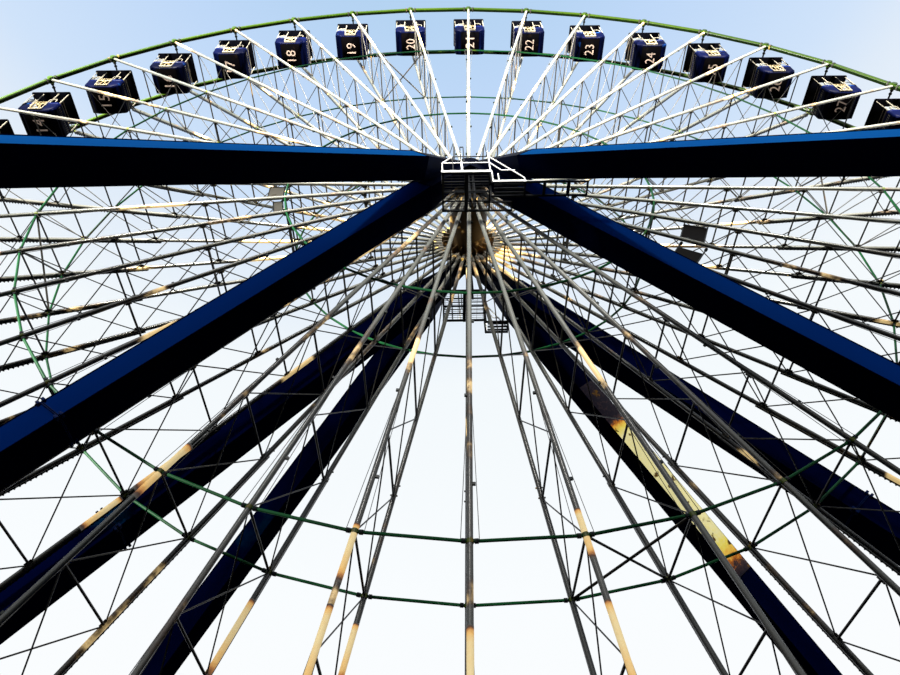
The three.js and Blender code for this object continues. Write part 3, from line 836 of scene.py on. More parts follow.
def build_bracing():
    """Struts and crossed rods between the faces, and thin cable pairs beside the front spokes."""
    struts = [(spoke_point(r, -FACE_Y), spoke_point(r, FACE_Y)) for r in STRUT_RADII]
    piece("spoke_struts", tubes(struts, STRUT_TUBE, STRUT_STEEL, 8, ALL_ROUND), "wheel")
    rods = []
    for inner, outer in zip(STRUT_RADII, STRUT_RADII[1:]):
        for y in (-FACE_Y, FACE_Y):
            rods.append((spoke_point(inner, y), spoke_point(outer, -y)))
    piece("cross_rods", tubes(rods, ROD_TUBE, ROD_STEEL, 6, ALL_ROUND), "wheel")
    braces = []
    for y in (-FACE_Y, FACE_Y):
        braces.append((spoke_point(OUTER_RING, y), spoke_point(OUTER_RING, -y, STEP_ANGLE)))
    every_tenth = {**ALL_ROUND, "Copies": SPOKES // 10, "First Angle": REST_ANGLE + BRACED_BAY * STEP_ANGLE,
                   "Step Angle": 10 * STEP_ANGLE}
    piece("ring_braces", tubes(braces, BRACE_TUBE, STRUT_STEEL, 6, every_tenth), "wheel")
    couplers = []
    for y in (-FACE_Y, FACE_Y):
        first, last = spoke_point(OUTER_RING, y), spoke_point(OUTER_RING, y, STEP_ANGLE)
        along = (last - first).normalized()
        couplers.append((first + along * mm(96), first + along * mm(176)))
        couplers.append((last - along * mm(176), last - along * mm(96)))
    piece("ring_couplers", tubes(couplers, COUPLER_RADIUS, LAMP_BLACK, 8, ALL_ROUND), "wheel")
    cables = []
    for first, last, offset in ((STRUT_RADII[2], OUTER_RING, 190), (15100, STRUT_RADII[6], 130)):
        for side in (-1, 1):
            near = at(0, -FACE_Y, first)
            far = at(side * offset, -FACE_Y, last - 60)
            cables += [(near, far), (at(0, -FACE_Y, last - 60), far)]
    piece("spoke_cables", tubes(cables, CABLE_TUBE, ROD_STEEL, 5, ALL_ROUND), "wheel")


def build_joints():
    """Lugs of the struts, joints of the outer ring, clamps of the lamp strips and small clips."""
    lugs = []
    for r in STRUT_RADII:
        for side in (-1, 1):
            lugs.append((at(-8, side * FACE_Y, r - 90), at(8, side * (FACE_Y - 150), r + 90)))
    piece("strut_lugs", all_round("lugs", lugs, JOINT_STEEL), "wheel")
    joints = [(spoke_point(OUTER_RING - 50, y), spoke_point(OUTER_RING + 50, y)) for y in (-FACE_Y, FACE_Y)]
    joints.append((spoke_point(NODE_RADIUS - 520, FACE_Y), spoke_point(NODE_RADIUS - 380, FACE_Y)))
    piece("ring_joints", tubes(joints, CHORD_RADIUS + 10, JOINT_LIME, 10, ALL_ROUND), "wheel")
    clamps = []
    for middle in (LAMP_START - 160, LAMP_START + 160):
        clamps.append((at(-96, FACE_Y - 16, middle - 16), at(96, FACE_Y + 16, middle + 16)))
    piece("strip_clamps", all_round("clamps", clamps, JOINT_STEEL), "wheel")
    clips = []
    for r, side in CLIPS:
        clips.append((at(side * 60, -FACE_Y - 30, r - 34), at(side * 128, -FACE_Y + 30, r + 34)))
    piece("spoke_clips", all_round("clips", clips, LAMP_BLACK), "wheel")


def build_sunlit_stretches():
    """Skins on single spokes with painted stretches of sunlight. Their level attribute rises fast at one end
    and falls off at the other.
    """
    shares = (0.0, 0.05, 0.14, 0.4, 0.6, 0.8, 0.92, 1.0)
    levels = (0.0, 0.55, 0.95, 1.0, 0.85, 0.70, 0.30, 0.0)
    runs = []
    for side, spoke, start, end in SUNLIT_STRETCHES:
        turn = REST_ANGLE + spoke * STEP_ANGLE
        runs.append([spoke_point(start + (end - start) * share, side * FACE_Y, turn) for share in shares])
    source = paths(runs)
    wear_and_sun = source.attributes.new("Sunlit", "FLOAT", "POINT")
    wear_and_sun.data.foreach_set("value", levels * len(runs))
    skins = grown(TUBES, source, SPOKE_SUNLIT, Tube_Radius=mm(CHORD_RADIUS + 2), Tube_Sides=12)
    piece("spoke_sunlit_stretches", moved(skins, AT_HUB), "wheel")


def build_lamps():
    """Lamp strips along the back spokes: flat caps at first, then caps that stand out up to the rim."""
    y = FACE_Y + CHORD_RADIUS
    end = NODE_RADIUS - 400

    def caps(first, last, lift, radius, height):
        run = paths([(spoke_point(first, y + lift), spoke_point(last, y + lift))])
        return grown(LAMP_ROW, run, LAMP_BLACK, ALL_ROUND, Spacing=mm(LAMP_SPACING), Cap_Radius=mm(radius),
                     Cap_Height=mm(height), Cap_Sides=5, Stand_Out=(0.0, 1.0, 0.0))

    high = caps(OUTER_RING + 150, end, 62, 42, 52)
    low = caps(LAMP_START + 80, OUTER_RING - 120, 50, 40, 26)
    strip = all_round("strip", [(at(-46, y - 12, LAMP_START), at(46, y + 40, end))], LAMP_BLACK)
    piece("lamp_rows", merged("lamps", [high, low, strip]), "wheel")


def panel_plate(corners, thickness, material):
    """A flat sheet with four corners."""
    shape = bmesh.new()
    lift = Vector((0, mm(thickness), 0))
    front = [shape.verts.new(corner - lift) for corner in corners]
    back = [shape.verts.new(corner + lift) for corner in corners]
    shape.faces.new(front)
    shape.faces.new(back[::-1])
    for k in range(4):
        n = (k + 1) % 4
        shape.faces.new((front[k], front[n], back[n], back[k]))
    return mesh_of("sheet", shape, material)


def build_panels():
    """Framed panels between neighbouring front spokes just outside the inner ring."""

    def bay(spoke, r):
        return spoke_point(r, PANEL_Y, REST_ANGLE + spoke * STEP_ANGLE)

    sheets = []
    posts = []
    for spoke, inner, outer, start, end in PANELS:
        brown = spoke > 0
        outline = ((start, inner), (start, outer), (end, outer), (end, inner))
        corners = [bay(spoke + share, r) for share, r in outline]
        sheets.append(panel_plate(corners, 9, PANEL_BROWN if brown else PANEL_TAN))
        for r in (inner, outer):
            low = start - (0.24 if brown else 0.04)
            posts.append((bay(spoke + low, r), bay(spoke + end + 0.05, r)))
        posts.append((corners[0], corners[1]))
        posts.append((corners[3], corners[2]))
    knobs = []
    for start, end in posts[0:2] + posts[4:6]:
        along = (end - start).normalized()
        knobs.append((start - along * mm(40), start + along * mm(50)))
    bars = merged("bars", [tubes(posts, 24, LAMP_BLACK), tubes(knobs, 52, LAMP_BLACK)])
    piece("wheel_panels", moved(merged("panels", [*sheets, bars]), AT_HUB), "wheel", spots=None)


def build_hub():
    """Drum with its collars, hub plates with their bolts, and the forks that hold the spokes."""
    half = [(0, 2115), (255, 2115), (270, 2100), (270, 1655), (430, 1650), (430, 1490), (640, 1480),
            (DRUM_RADIUS, 1440), (DRUM_RADIUS, 1330), (720, 1325), (720, 1300), (DRUM_RADIUS, 1295)]
    parts = [turned("drum", [(r, -y) for r, y in half] + half[::-1], HUB_BROWN, 64)]
    forks = []
    ribs = []
    for side in (-1, 1):
        y = side * FACE_Y
        parts.append(turned("flange", [
            (0, y - 45), (FLANGE_RADIUS - 20, y - 45), (FLANGE_RADIUS, y - 30), (FLANGE_RADIUS, y + 30),
            (FLANGE_RADIUS - 20, y + 45), (0, y + 45),
        ], HUB_BROWN, 80))
        parts.append(bolt_circle(40, 820, 26, 130, y))
        ribs.append((at(-10, side * (FACE_Y - 40), 690), at(10, side * (FACE_Y - 300), 1000)))
        for cheek in (y - 62, y + 62):
            forks.append((at(-58, cheek - 12, 880), at(58, cheek + 12, 1330)))
    every_second = {**ALL_ROUND, "Copies": SPOKES // 2, "Step Angle": 2 * STEP_ANGLE}
    fork_parts = [all_round("forks", forks, JOINT_STEEL), all_round("ribs", ribs, HUB_BROWN, every_second)]
    piece("hub_shell", moved(merged("hub", parts), AT_HUB), "wheel", ["hub_drum"])
    piece("hub_forks", merged("forks", fork_parts), "wheel")


build_face(-1, "front", FRONT_SPOKE)
build_face(1, "back", BACK_SPOKE)
build_bracing()
build_joints()
build_sunlit_stretches()
build_lamps()
build_panels()
build_hub()


# Cabins


def mirrored(corners, side):
    """A pair of corners on the right side, or on the left one."""
    return [at(side * x, y, z) for x, y, z in corners]


def cabin_tub():
    """Tub and its thicker rim, hollowed out and open at the doorway. The rim's lighter navy is painted
    light.
    """
    (x, y), (sole_x, sole_y) = TUB_HALF, SOLE_HALF
    tub = [
        (TUB_BOTTOM, sole_x, sole_y - 30, 90), (TUB_BOTTOM + 18, sole_x + 24, sole_y, 100),
        (TUB_SIDE - 12, x - 14, y - 8, 120), (TUB_SIDE + 30, x, y, 120), (TUB_RIM, x, y, 120),
    ]
    rim = [
        (TUB_RIM, x, y, 120), (TUB_RIM + 20, x + 16, y + 16, 150), (TUB_TOP - 30, x + 16, y + 16, 170),
        (TUB_TOP, x - 8, y - 8, 160),
    ]
    room = [
        (TUB_FLOOR, INNER_X - 130, INNER_Y, 60), (TUB_SIDE, INNER_X, INNER_Y, 90),
        (TUB_TOP + 200, INNER_X, INNER_Y, 90),
    ]
    doorway = [(at(-DOOR_HALF, -y - 60, TUB_FLOOR), at(DOOR_HALF, -INNER_Y + 10, TUB_TOP + 200))]
    parts = []
    for levels, material in ((tub, CABIN_NAVY), (rim, CABIN_RIM_LIT)):
        cutters = [lofted("room", room, material), boxes("door", doorway, material)]
        made = cut_away(lofted("tub", levels, material), *cutters)
        made.materials.clear()
        made.materials.append(material)
        for face in made.polygons:
            face.material_index = 0
        parts.append(made)
    return parts


def cabin_shell():
    """Tub with doorway, benches, roof, hanger plates and axle, about the cabin's axle."""
    (sole_x, sole_y), (roof_x, roof_y) = SOLE_HALF, ROOF_HALF
    parts = cabin_tub()
    parts.append(lofted("sole", [
        (TUB_BOTTOM - 6, sole_x - 30, sole_y - 60, 70), (TUB_BOTTOM + 4, sole_x - 14, sole_y - 44, 80),
    ], CABIN_SOLE))
    bench = (SEAT_EDGE, -INNER_Y, TUB_FLOOR + 2), (INNER_X, INNER_Y, SEAT_TOP - 45)
    cushion = (SEAT_EDGE - 12, -INNER_Y + 14, SEAT_TOP - 50), (INNER_X - 4, INNER_Y - 14, SEAT_TOP)
    back = (INNER_X - 50, -INNER_Y + 40, SEAT_TOP + 20), (INNER_X, INNER_Y - 40, TUB_TOP + 120)
    for side in (-1, 1):
        parts.append(boxes("bench", [mirrored(bench, side)], CABIN_NAVY, 12))
        parts.append(boxes("cushion", [mirrored(cushion, side)], SEAT_BROWN, 22))
        parts.append(boxes("back", [mirrored(back, side)], SEAT_BROWN, 16))
    parts.append(lofted("roof", [
        (ROOF_BOTTOM - 12, roof_x - 26, roof_y - 26, 50), (ROOF_BOTTOM, roof_x - 4, roof_y - 4, 60),
        (ROOF_TOP - 14, roof_x, roof_y, 60), (ROOF_TOP, roof_x - 20, roof_y - 20, 50),
        (ROOF_TOP + 34, roof_x - 420, roof_y - 420, 50),
    ], ROOF_BLACK))
    plates = []
    sleeves = []
    for side in (-1, 1):
        y = side * PLATE_Y
        plates.append((at(-95, y - 22, ROOF_TOP), at(95, y + 22, 75)))
        plates.append((at(-150, y - 60, ROOF_TOP - 4), at(150, y + 60, ROOF_TOP + 40)))
        sleeves += [(at(0, side * a, 0), at(0, side * b, 0)) for a, b in ((1000, 1135), (840, 905))]
    parts.append(boxes("hangers", plates, LAMP_BLACK, 8))
    parts.append(tubes([(at(0, -AXLE_END, 0), at(0, AXLE_END, 0))], 42, LAMP_BLACK, 12))
    parts.append(tubes(sleeves, 74, LAMP_BLACK, 12))
    return merged("cabin_shell", parts)


def bracket_rail(sx, y):
    """Handrail bent like a bracket beside the doorway."""
    low, high = TUB_TOP - 20, TUB_TOP + 300
    door = sx * (DOOR_HALF + 26)
    far = door + sx * 330
    return [at(door, y, low - 420), at(door, y, high - 60), at(door + sx * 60, y, high),
            at(far - sx * 60, y, high), at(far, y, high - 60), at(far, y, low)]


def posts_and_rails():
    """Posts up to the roof, handrails round the tub and the pale window panes."""
    x, y = TUB_HALF[0] - 38, TUB_HALF[1] - 38
    low = TUB_TOP + 110

    def post(post_x, sy):
        return at(post_x, sy * y, TUB_TOP - 10), at(post_x, sy * y, ROOF_BOTTOM)

    thick = [post(post_x, sy) for sy in (-1, 1) for post_x in (-POST_X, POST_X, x)]
    thin = [post(-x, sy) for sy in (-1, 1)]
    rails = [[at(sx * x, -y, z), at(sx * x, y, z)] for sx in (-1, 1) for z in (low, low + 220)]
    rails += [[at(sx * x, y, low), at(sx * POST_X, y, low)] for sx in (-1, 1)]
    rails += [bracket_rail(sx, -TUB_HALF[1] - 26) for sx in (-1, 1)]
    panes = [(at(30 - x, sy * y - 8, TUB_TOP + 6), at(-POST_X - 40, sy * y + 8, TUB_TOP + 420))
             for sy in (-1, 1)]
    return [tubes(thick, 27, CABIN_PALE), tubes(thin, 15, CABIN_PALE), tubes(rails, 19, CABIN_PALE, 6),
            boxes("pane", panes, CABIN_PANE)]


def door_frame(front):
    """Threshold, jambs and the two short ledges beside the doorway."""
    top, half = TUB_TOP - 26, DOOR_HALF + 14
    members = [(at(-half, front - 34, TUB_FLOOR - 34), at(half, front + 90, TUB_FLOOR + 6))]
    for side in (-1, 1):
        jamb = (half - 30, front - 26, TUB_FLOOR), (half, front + 14, TUB_TOP - 20)
        members.append(mirrored(jamb, side))
    for side, reach in ((-1, 110), (1, 60)):
        ledge = (DOOR_HALF, front - 20, top), (DOOR_HALF + reach, front + 60, top + 40)
        members.append(mirrored(ledge, side))
    return boxes("door_frame", members, CABIN_PALE, 6)


def gate_bars(y):
    """Gate in the doorway: frame, two diagonals, a rail and two bars."""
    low, high = TUB_FLOOR + 70, TUB_TOP + 60
    runs = (
        ((-270, low), (270, low), (270, high), (-270, high), (-270, low), (270, high)),
        ((-270, high), (270, low)), ((-270, high - 220), (270, high - 220)),
        ((-90, low), (-90, high)), ((90, low), (90, high)),
    )
    return tubes([[at(x, y, z) for x, z in run] for run in runs], 15, CABIN_GOLD, 5)


def handwheel():
    """Round handwheel on its post in the middle."""

    def on_ring(turn):
        return at(HANDWHEEL_RADIUS * math.cos(turn), HANDWHEEL_RADIUS * math.sin(turn), TUB_TOP + 70)

    ring = [on_ring(math.tau * k / 18) for k in range(19)]
    arms = [[at(0, 0, TUB_TOP + 50), on_ring(math.tau * (k + 0.5) / 4)] for k in range(4)]
    return [tubes([ring, *arms], 26, CABIN_GOLD, 6),
            tubes([(at(0, 0, TUB_FLOOR), at(0, 0, TUB_TOP + 56))], 45, CABIN_GOLD, 12)]


def cabin_fittings():
    """Posts, handrails, window panes, doorway, handwheel and the dashes along the sides."""
    front = -TUB_HALF[1]
    parts = [*posts_and_rails(), door_frame(front), gate_bars(front - 4), *handwheel()]
    for sx in (-1, 1):
        for z in (TUB_TOP - 230, TUB_TOP - 325):
            start = at(sx * (TUB_HALF[0] + 4), front + 170, z)
            parts.append(bar_row((16, 52, 26), start, at(0, 96, 0), 13, CABIN_PALE))
    return merged("cabin_fittings", parts)


def numeral(text):
    """Two digits on the underside, read from back to front."""
    curve = bpy.data.curves.new("numeral", "FONT")
    curve.body = text
    curve.size = mm(DIGIT_HEIGHT / 0.7)
    curve.align_x = "CENTER"
    curve.align_y = "CENTER"
    curve.extrude = mm(3)
    curve.resolution_u = 3
    curve.space_character = 1.05
    mesh = evaluated_mesh(new_object("carrier", curve))
    low = Vector(min(vertex.co[i] for vertex in mesh.vertices) for i in range(3))
    high = Vector(max(vertex.co[i] for vertex in mesh.vertices) for i in range(3))
    to_middle = Matrix.Translation(-(low + high) / 2)
    facing_down = Matrix(((0, -1, 0, 0), (-1, 0, 0, 0), (0, 0, -1, 0), (0, 0, 0, 1)))
    narrowed = Matrix.Diagonal((min(1.0, mm(NUMBER_WIDTH) / (high.x - low.x)), 1, 1, 1))
    mesh.transform(Matrix.Translation(at(0, 0, TUB_BOTTOM - 7)) @ facing_down @ narrowed @ to_middle)
    mesh.materials.clear()
    # The glow of the numerals' cream is painted light.
    mesh.materials.append(NUMBER_CREAM_LIT)
    return mesh


shell = cabin_shell()
fittings = cabin_fittings()
for cabin, place in cabin_places.items():
    home = Matrix.Translation(place)
    piece(f"{cabin}_shell", moved(shell.copy(), home), cabin, [cabin])
    piece(f"{cabin}_fittings", moved(fittings.copy(), home), cabin)
    piece(f"{cabin}_number", moved(numeral(cabin[-2:]), home), cabin)


# Legs and ground frame

# Legs of either side: name, paint, share of the length where the bolted seam lies. The paints are copies of
# one blue: lighter on the front outriggers for painted light, darker on the front A legs for painted shade,
# darkest on the back legs for deeper painted shade.
LEG_KINDS = (
    ("a_leg_front", LEG_BLUE_SHADED, 0.433), ("a_leg_back", LEG_BLUE_DEEP_SHADE, 0.433),
    ("outrigger_front", LEG_BLUE_LIT, None), ("outrigger_back", LEG_BLUE_DEEP_SHADE, None),
)


def leg_axes(leg):
    """Head, foot, long side and short side of a leg's box section, from its solid."""
    corners = {tuple(round(c, 4) for c in vertex.co) for vertex in frame["nodes"][leg].data.vertices}
    points = [Vector(point) for point in sorted(corners, key=lambda point: -point[2])]
    head, foot = points[:4], points[-4:]
    sides = sorted((other - head[0] for other in head[1:]), key=lambda side: side.length)
    return sum(head, Vector()) / 4, sum(foot, Vector()) / 4, sides[1], sides[0]


def sunlit_plate(half_x, half_y, start, end):
    """Thin skin on one side of a girder for a painted patch of sunlight, its level attribute high in the
    middle and low at both ends.
    """
    shape = bmesh.new()
    wear_and_sun = shape.verts.layers.float.new("Sunlit")
    steps = 32
    rows = []
    for k in range(steps + 1):
        share = k / steps
        level = max(0.0, min(1.0, 12.0 * (share - 0.19), 5.5 * (1.0 - share)))
        row = []
        for y, lift in ((-half_y, 0.5), (-half_y + mm(6), 3), (half_y - mm(6), 3), (half_y, 0.5)):
            vertex = shape.verts.new((half_x + mm(lift), y, start + (end - start) * share))
            vertex[wear_and_sun] = level
            row.append(vertex)
        rows.append(row)
    for first, second in zip(rows, rows[1:]):
        for a in range(3):
            shape.faces.new((first[a], first[a + 1], second[a + 1], second[a]))
    mesh = bpy.data.meshes.new("wear_and_sun")
    shape.to_mesh(mesh)
    shape.free()
    mesh.materials.append(LEG_SUNLIT)
    return mesh


def seam_parts(half_w, half_d, middle):
    """Two bands round a girder and eight corner ears, on either side of a seam."""
    lift, ear = mm(7), mm(58)
    bands = []
    for step in (-26, 8):
        low, high = middle + mm(step), middle + mm(step + 18)
        bands.append(((-half_w - lift, -half_d - lift, low), (half_w + lift, half_d + lift, high)))
    ears = []
    for sx in (-1, 1):
        for sy in (-1, 1):
            x, y = sx * (half_w - mm(10)), sy * (half_d - mm(10))
            for step in (-64, 64):
                low, high = middle + mm(step - 34), middle + mm(step + 34)
                ears.append(((x - ear, y - ear, low), (x + ear, y + ear, high)))
    return [boxes("bands", bands, LEG_EDGE, 3), boxes("ears", ears, LEG_EDGE, 8)]


def girder(leg, paint, seam):
    """Box girder: side plates between overlapping covers, with a bolted seam on the legs that have one. The
    covers take a darker paint: painted shade for the legs' undersides.
    """
    head, foot, wide, deep = leg_axes(leg)
    along = foot - head
    z = along.normalized()
    x = wide.normalized()
    home = Matrix.Translation(head) @ Matrix((x, z.cross(x), z)).transposed().to_4x4()
    half_w, half_d = wide.length / 2, deep.length / 2
    lip, plate, gap = mm(16), mm(26), mm(6)
    end = along.length + mm(160)
    parts = [
        boxes("web", [((lip - half_w, gap - half_d, 0), (half_w - lip, half_d - gap, end))], paint, 4),
        boxes("covers", [((-half_w, -half_d, 0), (half_w, plate - half_d, end)),
                         ((-half_w, half_d - plate, 0), (half_w, half_d, end))], LEG_COVER_SHADE, 5),
    ]
    if seam:
        parts += seam_parts(half_w, half_d, along.length * seam)
    whole = bisected(moved(merged("girder", parts), home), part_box(leg)[0].z)
    piece(f"{leg}_girder", whole, "base", [leg], spots=None)
    # One leg carries a painted patch of sunlight on one side.
    if leg == SUNLIT_LEG:
        start, last = map(mm, SUNLIT_SIDE)
        sunlit_side = moved(sunlit_plate(half_w, half_d - lip, start, last), home)
        piece(f"{leg}_sunlit_side", sunlit_side, "base", spots=None)
    return foot


def bevelled(solid, width, material, name):
    """A cleaned copy of a solid with bevelled edges."""
    mesh = frame["nodes"][solid].data.copy()
    shape = bmesh.new()
    shape.from_mesh(mesh)
    bmesh.ops.remove_doubles(shape, verts=shape.verts, dist=mm(0.5))
    bmesh.ops.dissolve_limit(shape, angle_limit=math.radians(1), verts=shape.verts, edges=shape.edges)
    bmesh.ops.bevel(shape, geom=list(shape.edges), offset=mm(width), segments=2, affect="EDGES",
                    clamp_overlap=True)
    shape.to_mesh(mesh)
    shape.free()
    mesh.materials.clear()
    mesh.materials.append(material)
    return piece(name, mesh, "base", [solid], spots=None)


def build_ground_frame():
    """Legs, ground beams, bearing heads with their painted tops, and plates under the feet. Below their lit
    blue tops the heads are painted dark for shade.
    """
    feet = []
    for kind, paint, seam in LEG_KINDS:
        for side in ("left", "right"):
            feet.append(girder(f"{kind}_{side}", paint, seam))
    # The ground beams take the darker copy of the blue: painted shade.
    for beam in ("side_beam_left", "side_beam_right", "tie_beam_front", "tie_beam_back"):
        bevelled(beam, 14, LEG_BLUE_SHADED, f"{beam}_box")
    for end in ("front", "back"):
        head = bevelled(f"bearing_head_{end}", 16, HEAD_SHADE, f"bearing_head_{end}_casting").data
        head.materials.append(LEG_BLUE_LIT)
        # Only the tops of the heads take the lighter blue with painted light; the rest stays in painted
        # shade.
        for face in head.polygons:
            if face.center.z > hub.z + mm(125) and abs(face.center.x) < mm(400):
                face.material_index = 1
    half = at(640, 640, 0)
    shoes = [(foot - half, foot + half + at(0, 0, 30)) for foot in feet]
    piece("foot_plates", boxes("shoes", shoes, LEG_EDGE, 6), "base", spots=None)


def build_bearing(side, name):
    """Cover of the round bearing housing, with its bolts, in the heads' painted shade."""
    y = side * 2150
    profile = ((0, 26), (190, 26), (210, 18), (290, 14), (364, 10), (368, 4), (368, -20), (0, -20))
    cover = turned("cover", [(r, y + side * lift) for r, lift in profile], HEAD_SHADE, 40)
    bolts = bolt_circle(14, 330, 17, 24, y + side * 16)
    bearing = moved(merged("bearing", [cover, bolts]), AT_HUB)
    piece(f"bearing_cover_{name}", bearing, "base", spots=None)


build_ground_frame()
build_bearing(-1, "front")
build_bearing(1, "back")


# Service platforms: p places a point for either side of the wheel


def deck_beams(name, p):
    """Frames of the floor and the landing, and the four hangers up to the bearing head."""
    (left, right), (near, far) = FLOOR_X, FLOOR_Y
    (land_near, land_far), land_end = LANDING_Y, LANDING_END[name]
    low, under = FLOOR_Z - FLOOR_DEPTH, LANDING_Z - FLOOR_DEPTH
    middle, inner = (left + right) / 2, right - 60
    beams = [
        (p(left, near, low), p(right, near + 50, FLOOR_Z)), (p(left, far - 60, low), p(right, far, FLOOR_Z)),
        (p(left, near, low), p(left + 60, far, FLOOR_Z)), (p(inner, near, low), p(right, far, FLOOR_Z)),
        (p(middle - 55, near, low - 20), p(middle + 55, far, FLOOR_Z)),
        (p(inner, land_near, under), p(land_end, land_near + 50, LANDING_Z)),
        (p(inner, land_far - 50, under), p(land_end, land_far, LANDING_Z)),
        (p(land_end - 50, land_near, under), p(land_end, land_far, LANDING_Z)),
        (p(inner, land_near, LANDING_Z), p(right, land_near + 60, FLOOR_Z)),
        (p(inner, land_far - 70, LANDING_Z), p(right, land_far - 10, FLOOR_Z)),
    ]
    for x in (-80, 80):
        for y in HANGER_Y:
            beams.append((p(x - 38, y - 30, FLOOR_Z - 20), p(x + 38, y + 30, HANGER_TOP)))
    return boxes("beams", beams, IRON, 5)


def deck_floors(name, p):
    """Grating of the floor on three joists, and the planks of the landing."""
    (left, right), (near, far) = FLOOR_X, FLOOR_Y
    (land_near, land_far), land_end = LANDING_Y, LANDING_END[name]
    middle_x, middle_y = (left + right) / 2, (near + far) / 2
    wide, deep = right - left - 100, far - near - 100
    slats, planks = 13, 3
    parts = [bar((wide, 34, 52), p(middle_x, near + step, FLOOR_Z - 34), IRON) for step in (380, 730, 1080)]
    parts.append(bar_row((wide, 8, 18), p(middle_x, near + 80, FLOOR_Z - 18), p(0, (deep - 30) / slats, 0),
                         slats, IRON))
    parts.append(bar_row((8, deep, 18), p(left + 90, middle_y, FLOOR_Z - 18), at(235, 0, 0), 7, IRON))
    plank = (land_far - land_near - 100) / planks
    for k in range(planks):
        place = p((land_end + right) / 2, land_near + 50 + plank * (k + 0.5), LANDING_Z - 20)
        parts.append(bar((land_end - right - 80, plank - 60, 20), place, PLANK_GREY))
    return parts


def walkway(p):
    """The front platform's walkway beyond the landing, and the grated step at its side."""
    (land_near, land_far), land_end = LANDING_Y, LANDING_END["front"]
    low, high = LANDING_Z - FLOOR_DEPTH + 10, LANDING_Z - 10
    walk = [(p(land_end, land_near, low), p(WALKWAY_END, land_near + 60, high)),
            (p(land_end, land_far - 60, low), p(WALKWAY_END, land_far, high))]
    for x, half in WALKWAY_RUNGS:
        walk.append((p(x - half, land_near, low), p(x + half, land_far, high)))
    (left, right), (near, far) = SIDE_STEP
    under = FLOOR_Z - FLOOR_DEPTH
    step = [(p(left, near, under), p(right, near + 40, FLOOR_Z)),
            (p(left, far - 40, under), p(right, far, FLOOR_Z)),
            (p(right - 40, near, under), p(right, far, FLOOR_Z))]
    first_slat = p(FLOOR_X[1] + 50, (near + far) / 2, FLOOR_Z - 20)
    grating = bar_row((9, far - near - 40, 30), first_slat, at(70, 0, 0), 10, IRON)
    knob = [(p(KNOB_X, land_far - 30, LANDING_Z + 55), p(KNOB_X, land_far - 30, LANDING_Z - 20))]
    return [boxes("walkway", walk, IRON, 5), boxes("step", step, IRON, 4), grating, tubes(knob, 46, IRON)]


def platform_rails(name, p):
    """White guard rails and toe boards, with the tall middle post and the sloping rails of the stair."""
    (left, right), (near, far) = FLOOR_X, FLOOR_Y
    land_far, land_end = LANDING_Y[1], LANDING_END[name]
    inner, y = near + 940 + RAIL_TUBE, far - RAIL_TUBE
    low_x, high_x = left + RAIL_TUBE, right - RAIL_TUBE
    mid, top = FLOOR_Z + MID_RAIL, FLOOR_Z + TOP_RAIL
    post_x, post_top = TALL_POST[0], FLOOR_Z + TALL_POST[1]
    stair = LANDING_Z + 790
    white = [
        [p(low_x, inner, FLOOR_Z), p(low_x, inner, mid), p(low_x, y, mid), p(high_x, y, mid)],
        [p(low_x, y, FLOOR_Z), p(low_x, y, mid), p(TOP_RAIL_START, y, top)],
        [p(high_x, y, FLOOR_Z), p(high_x, y, top + 360)],
        [p(post_x - 45, y, FLOOR_Z), p(post_x - 45, y, mid + 120)],
        [p(high_x, y, top), p(land_end - 60, y, LANDING_Z + 330), p(land_end - 20, y, LANDING_Z + 250),
         p(land_end - 20, y, LANDING_Z)],
        [p(high_x, y, mid), p(900, y, stair), p(land_end - 260, y, stair)],
        [p(770, y, LANDING_Z), p(770, y, LANDING_Z + 550)],
    ]
    dark = [
        [p(TOP_RAIL_START, y, top), p(high_x, y, top)],
        [p(TOP_RAIL_START, y, FLOOR_Z), p(TOP_RAIL_START, y, top)],
        [p(post_x - 55, y, mid + 120), p(post_x - 55, y, post_top), p(post_x + 55, y, post_top),
         p(post_x + 40, y, mid)],
    ]
    boards = [
        (p(left - 20, far - 4, FLOOR_Z - 62), p(right + 10, far + 12, FLOOR_Z + 62)),
        (p(right - 6, far - 4, LANDING_Z - 40), p(right + 30, far + 12, FLOOR_Z + 20)),
        (p(right + 30, land_far - 4, LANDING_Z - 50), p(land_end + 10, land_far + 12, LANDING_Z + 50)),
        (p(post_x - 78, far - 4, FLOOR_Z + 50), p(post_x - 12, far + 10, mid)),
        (p(post_x - 48, far - 30, mid), p(post_x - 30, far - 14, post_top - 300)),
    ]
    parts = [tubes(white, RAIL_TUBE, RAIL_WHITE), tubes(dark, RAIL_TUBE - 2, IRON),
             boxes("toe_boards", boards, RAIL_WHITE, 4)]
    if name == "front":
        edge = (p(land_end, land_far, LANDING_Z - 24), p(WALKWAY_END, land_far + 8, LANDING_Z - 8))
        parts.append(boxes("edge", [edge], RAIL_WHITE, 2))
    return merged("rails", parts)


def build_platform(side, name):
    """Deck and rails under one bearing head."""

    def p(x, y, z):
        return at(x, side * y, z)

    parts = [deck_beams(name, p), *deck_floors(name, p)]
    if name == "front":
        parts += walkway(p)
    deck = moved(merged("deck", parts), AT_HUB)
    piece(f"platform_{name}_deck", deck, "base", [f"platform_{name}"], spots=None)
    piece(f"platform_{name}_rails", moved(platform_rails(name, p), AT_HUB), "base")


build_platform(-1, "front")
build_platform(1, "back")


# Stage, light and camera


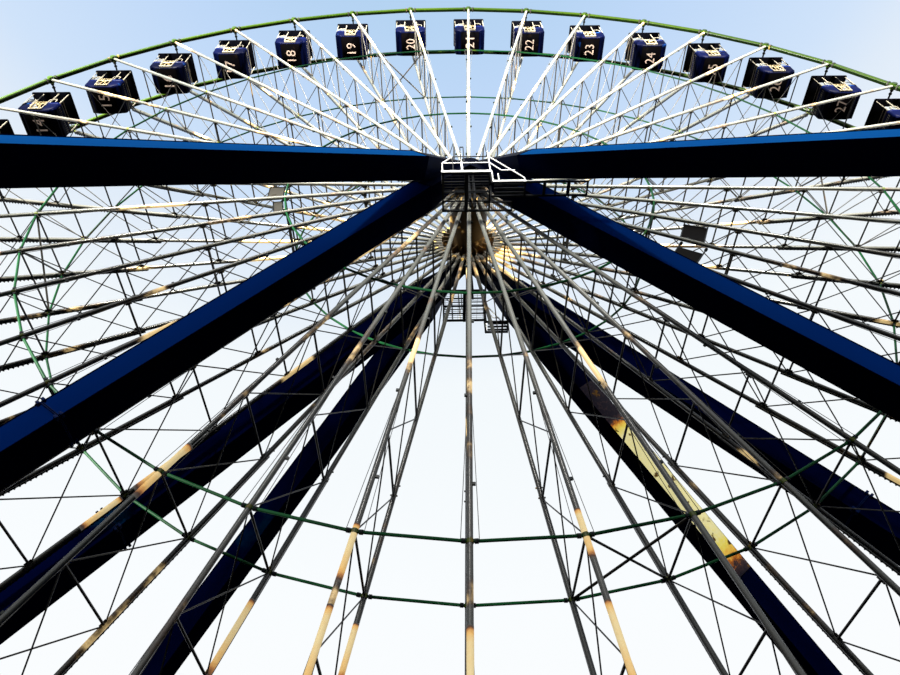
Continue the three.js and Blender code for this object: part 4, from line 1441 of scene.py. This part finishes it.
def build_stage():
    """A plain pale floor. It throws no light back on the wheel."""
    floor = bpy.data.meshes.new("floor")
    corners = [(sx * FLOOR_HALF, sy * FLOOR_HALF, 0) for sx, sy in ((-1, -1), (1, -1), (1, 1), (-1, 1))]
    floor.from_pydata(corners, [], [(0, 1, 2, 3)])
    pale = finish("floor_pale", (0.72, 0.73, 0.74), (0.68, 0.69, 0.70), (0.64, 0.65, 0.66), roughness=0.8,
                  patch_size=3.0, patch_share=0.2, grain_size=0.05)
    floor.materials.append(pale)
    made = new_object("studio_floor", floor)
    made.location.z = -0.002
    made.visible_diffuse = False
    made.visible_glossy = False


def build_world():
    """A blue sky that pales to white low down, and a light that comes from above only."""
    world = bpy.data.worlds.new("studio")
    bpy.context.scene.world = world
    world.use_nodes = True
    tree = world.node_tree
    direction = node(tree, "ShaderNodeTexCoord").outputs["Generated"]
    parts = node(tree, "ShaderNodeSeparateXYZ")
    put(parts.inputs[0], direction)
    height = math_node(tree, "MULTIPLY_ADD", parts.outputs["Z"], 0.5, 0.5)
    seen, cast, gleam = (color_ramp(tree, height, stops) for stops in (SKY_SEEN, SKY_CAST, SKY_GLEAM))
    path = node(tree, "ShaderNodeLightPath")
    shown = mix_color(tree, path.outputs["Is Glossy Ray"], cast, gleam)
    shown = mix_color(tree, path.outputs["Is Camera Ray"], shown, seen)
    put(tree.nodes["Background"].inputs["Color"], shown)


def place_light(name, kind, place, target, power, color):
    light = bpy.data.lights.new(name, kind)
    light.energy = power
    light.color = color
    lamp = new_object(name, light)
    lamp.location = place
    lamp.rotation_euler = (Vector(place) - Vector(target)).to_track_quat("Z", "Y").to_euler()
    return lamp


def build_sun():
    a, e = math.radians(SUN_AZIMUTH), math.radians(SUN_ELEVATION)
    toward = Vector((math.sin(a) * math.cos(e), math.cos(a) * math.cos(e), math.sin(e)))
    lamp = place_light("key", "SUN", hub + toward * 30, hub, 0.80, (1.0, 0.96, 0.90))
    lamp.data.angle = math.radians(4)


def build_spots():
    """The spots of the table above. Each lights only the pieces of one collection."""
    for name, place, target, power, color, cone, blend, size, lit in SPOTS:
        lamp = place_light(name, "SPOT", place, target, power, color)
        lamp.data.spot_size = math.radians(cone)
        lamp.data.spot_blend = blend
        lamp.data.shadow_soft_size = size
        lamp.light_linking.receiver_collection = lit


def build_camera():
    data = bpy.data.cameras.new("camera")
    data.lens = CAMERA_LENS
    data.sensor_width = 36.0
    data.clip_start = 0.05
    data.clip_end = 500.0
    camera = new_object("camera", data)
    home = Matrix.Translation(hub + at(*CAMERA_FROM_HUB))
    turns = ((CAMERA_TURN, "Y"), (CAMERA_HEADING, "Z"), (90 + CAMERA_TILT, "X"), (CAMERA_ROLL, "Z"))
    for degrees, axis in turns:
        home = home @ Matrix.Rotation(math.radians(degrees), 4, axis)
    camera.matrix_world = home
    bpy.context.scene.camera = camera


build_stage()
build_world()
build_sun()
build_spots()
build_camera()
bpy.context.scene.view_settings.view_transform = "Standard"
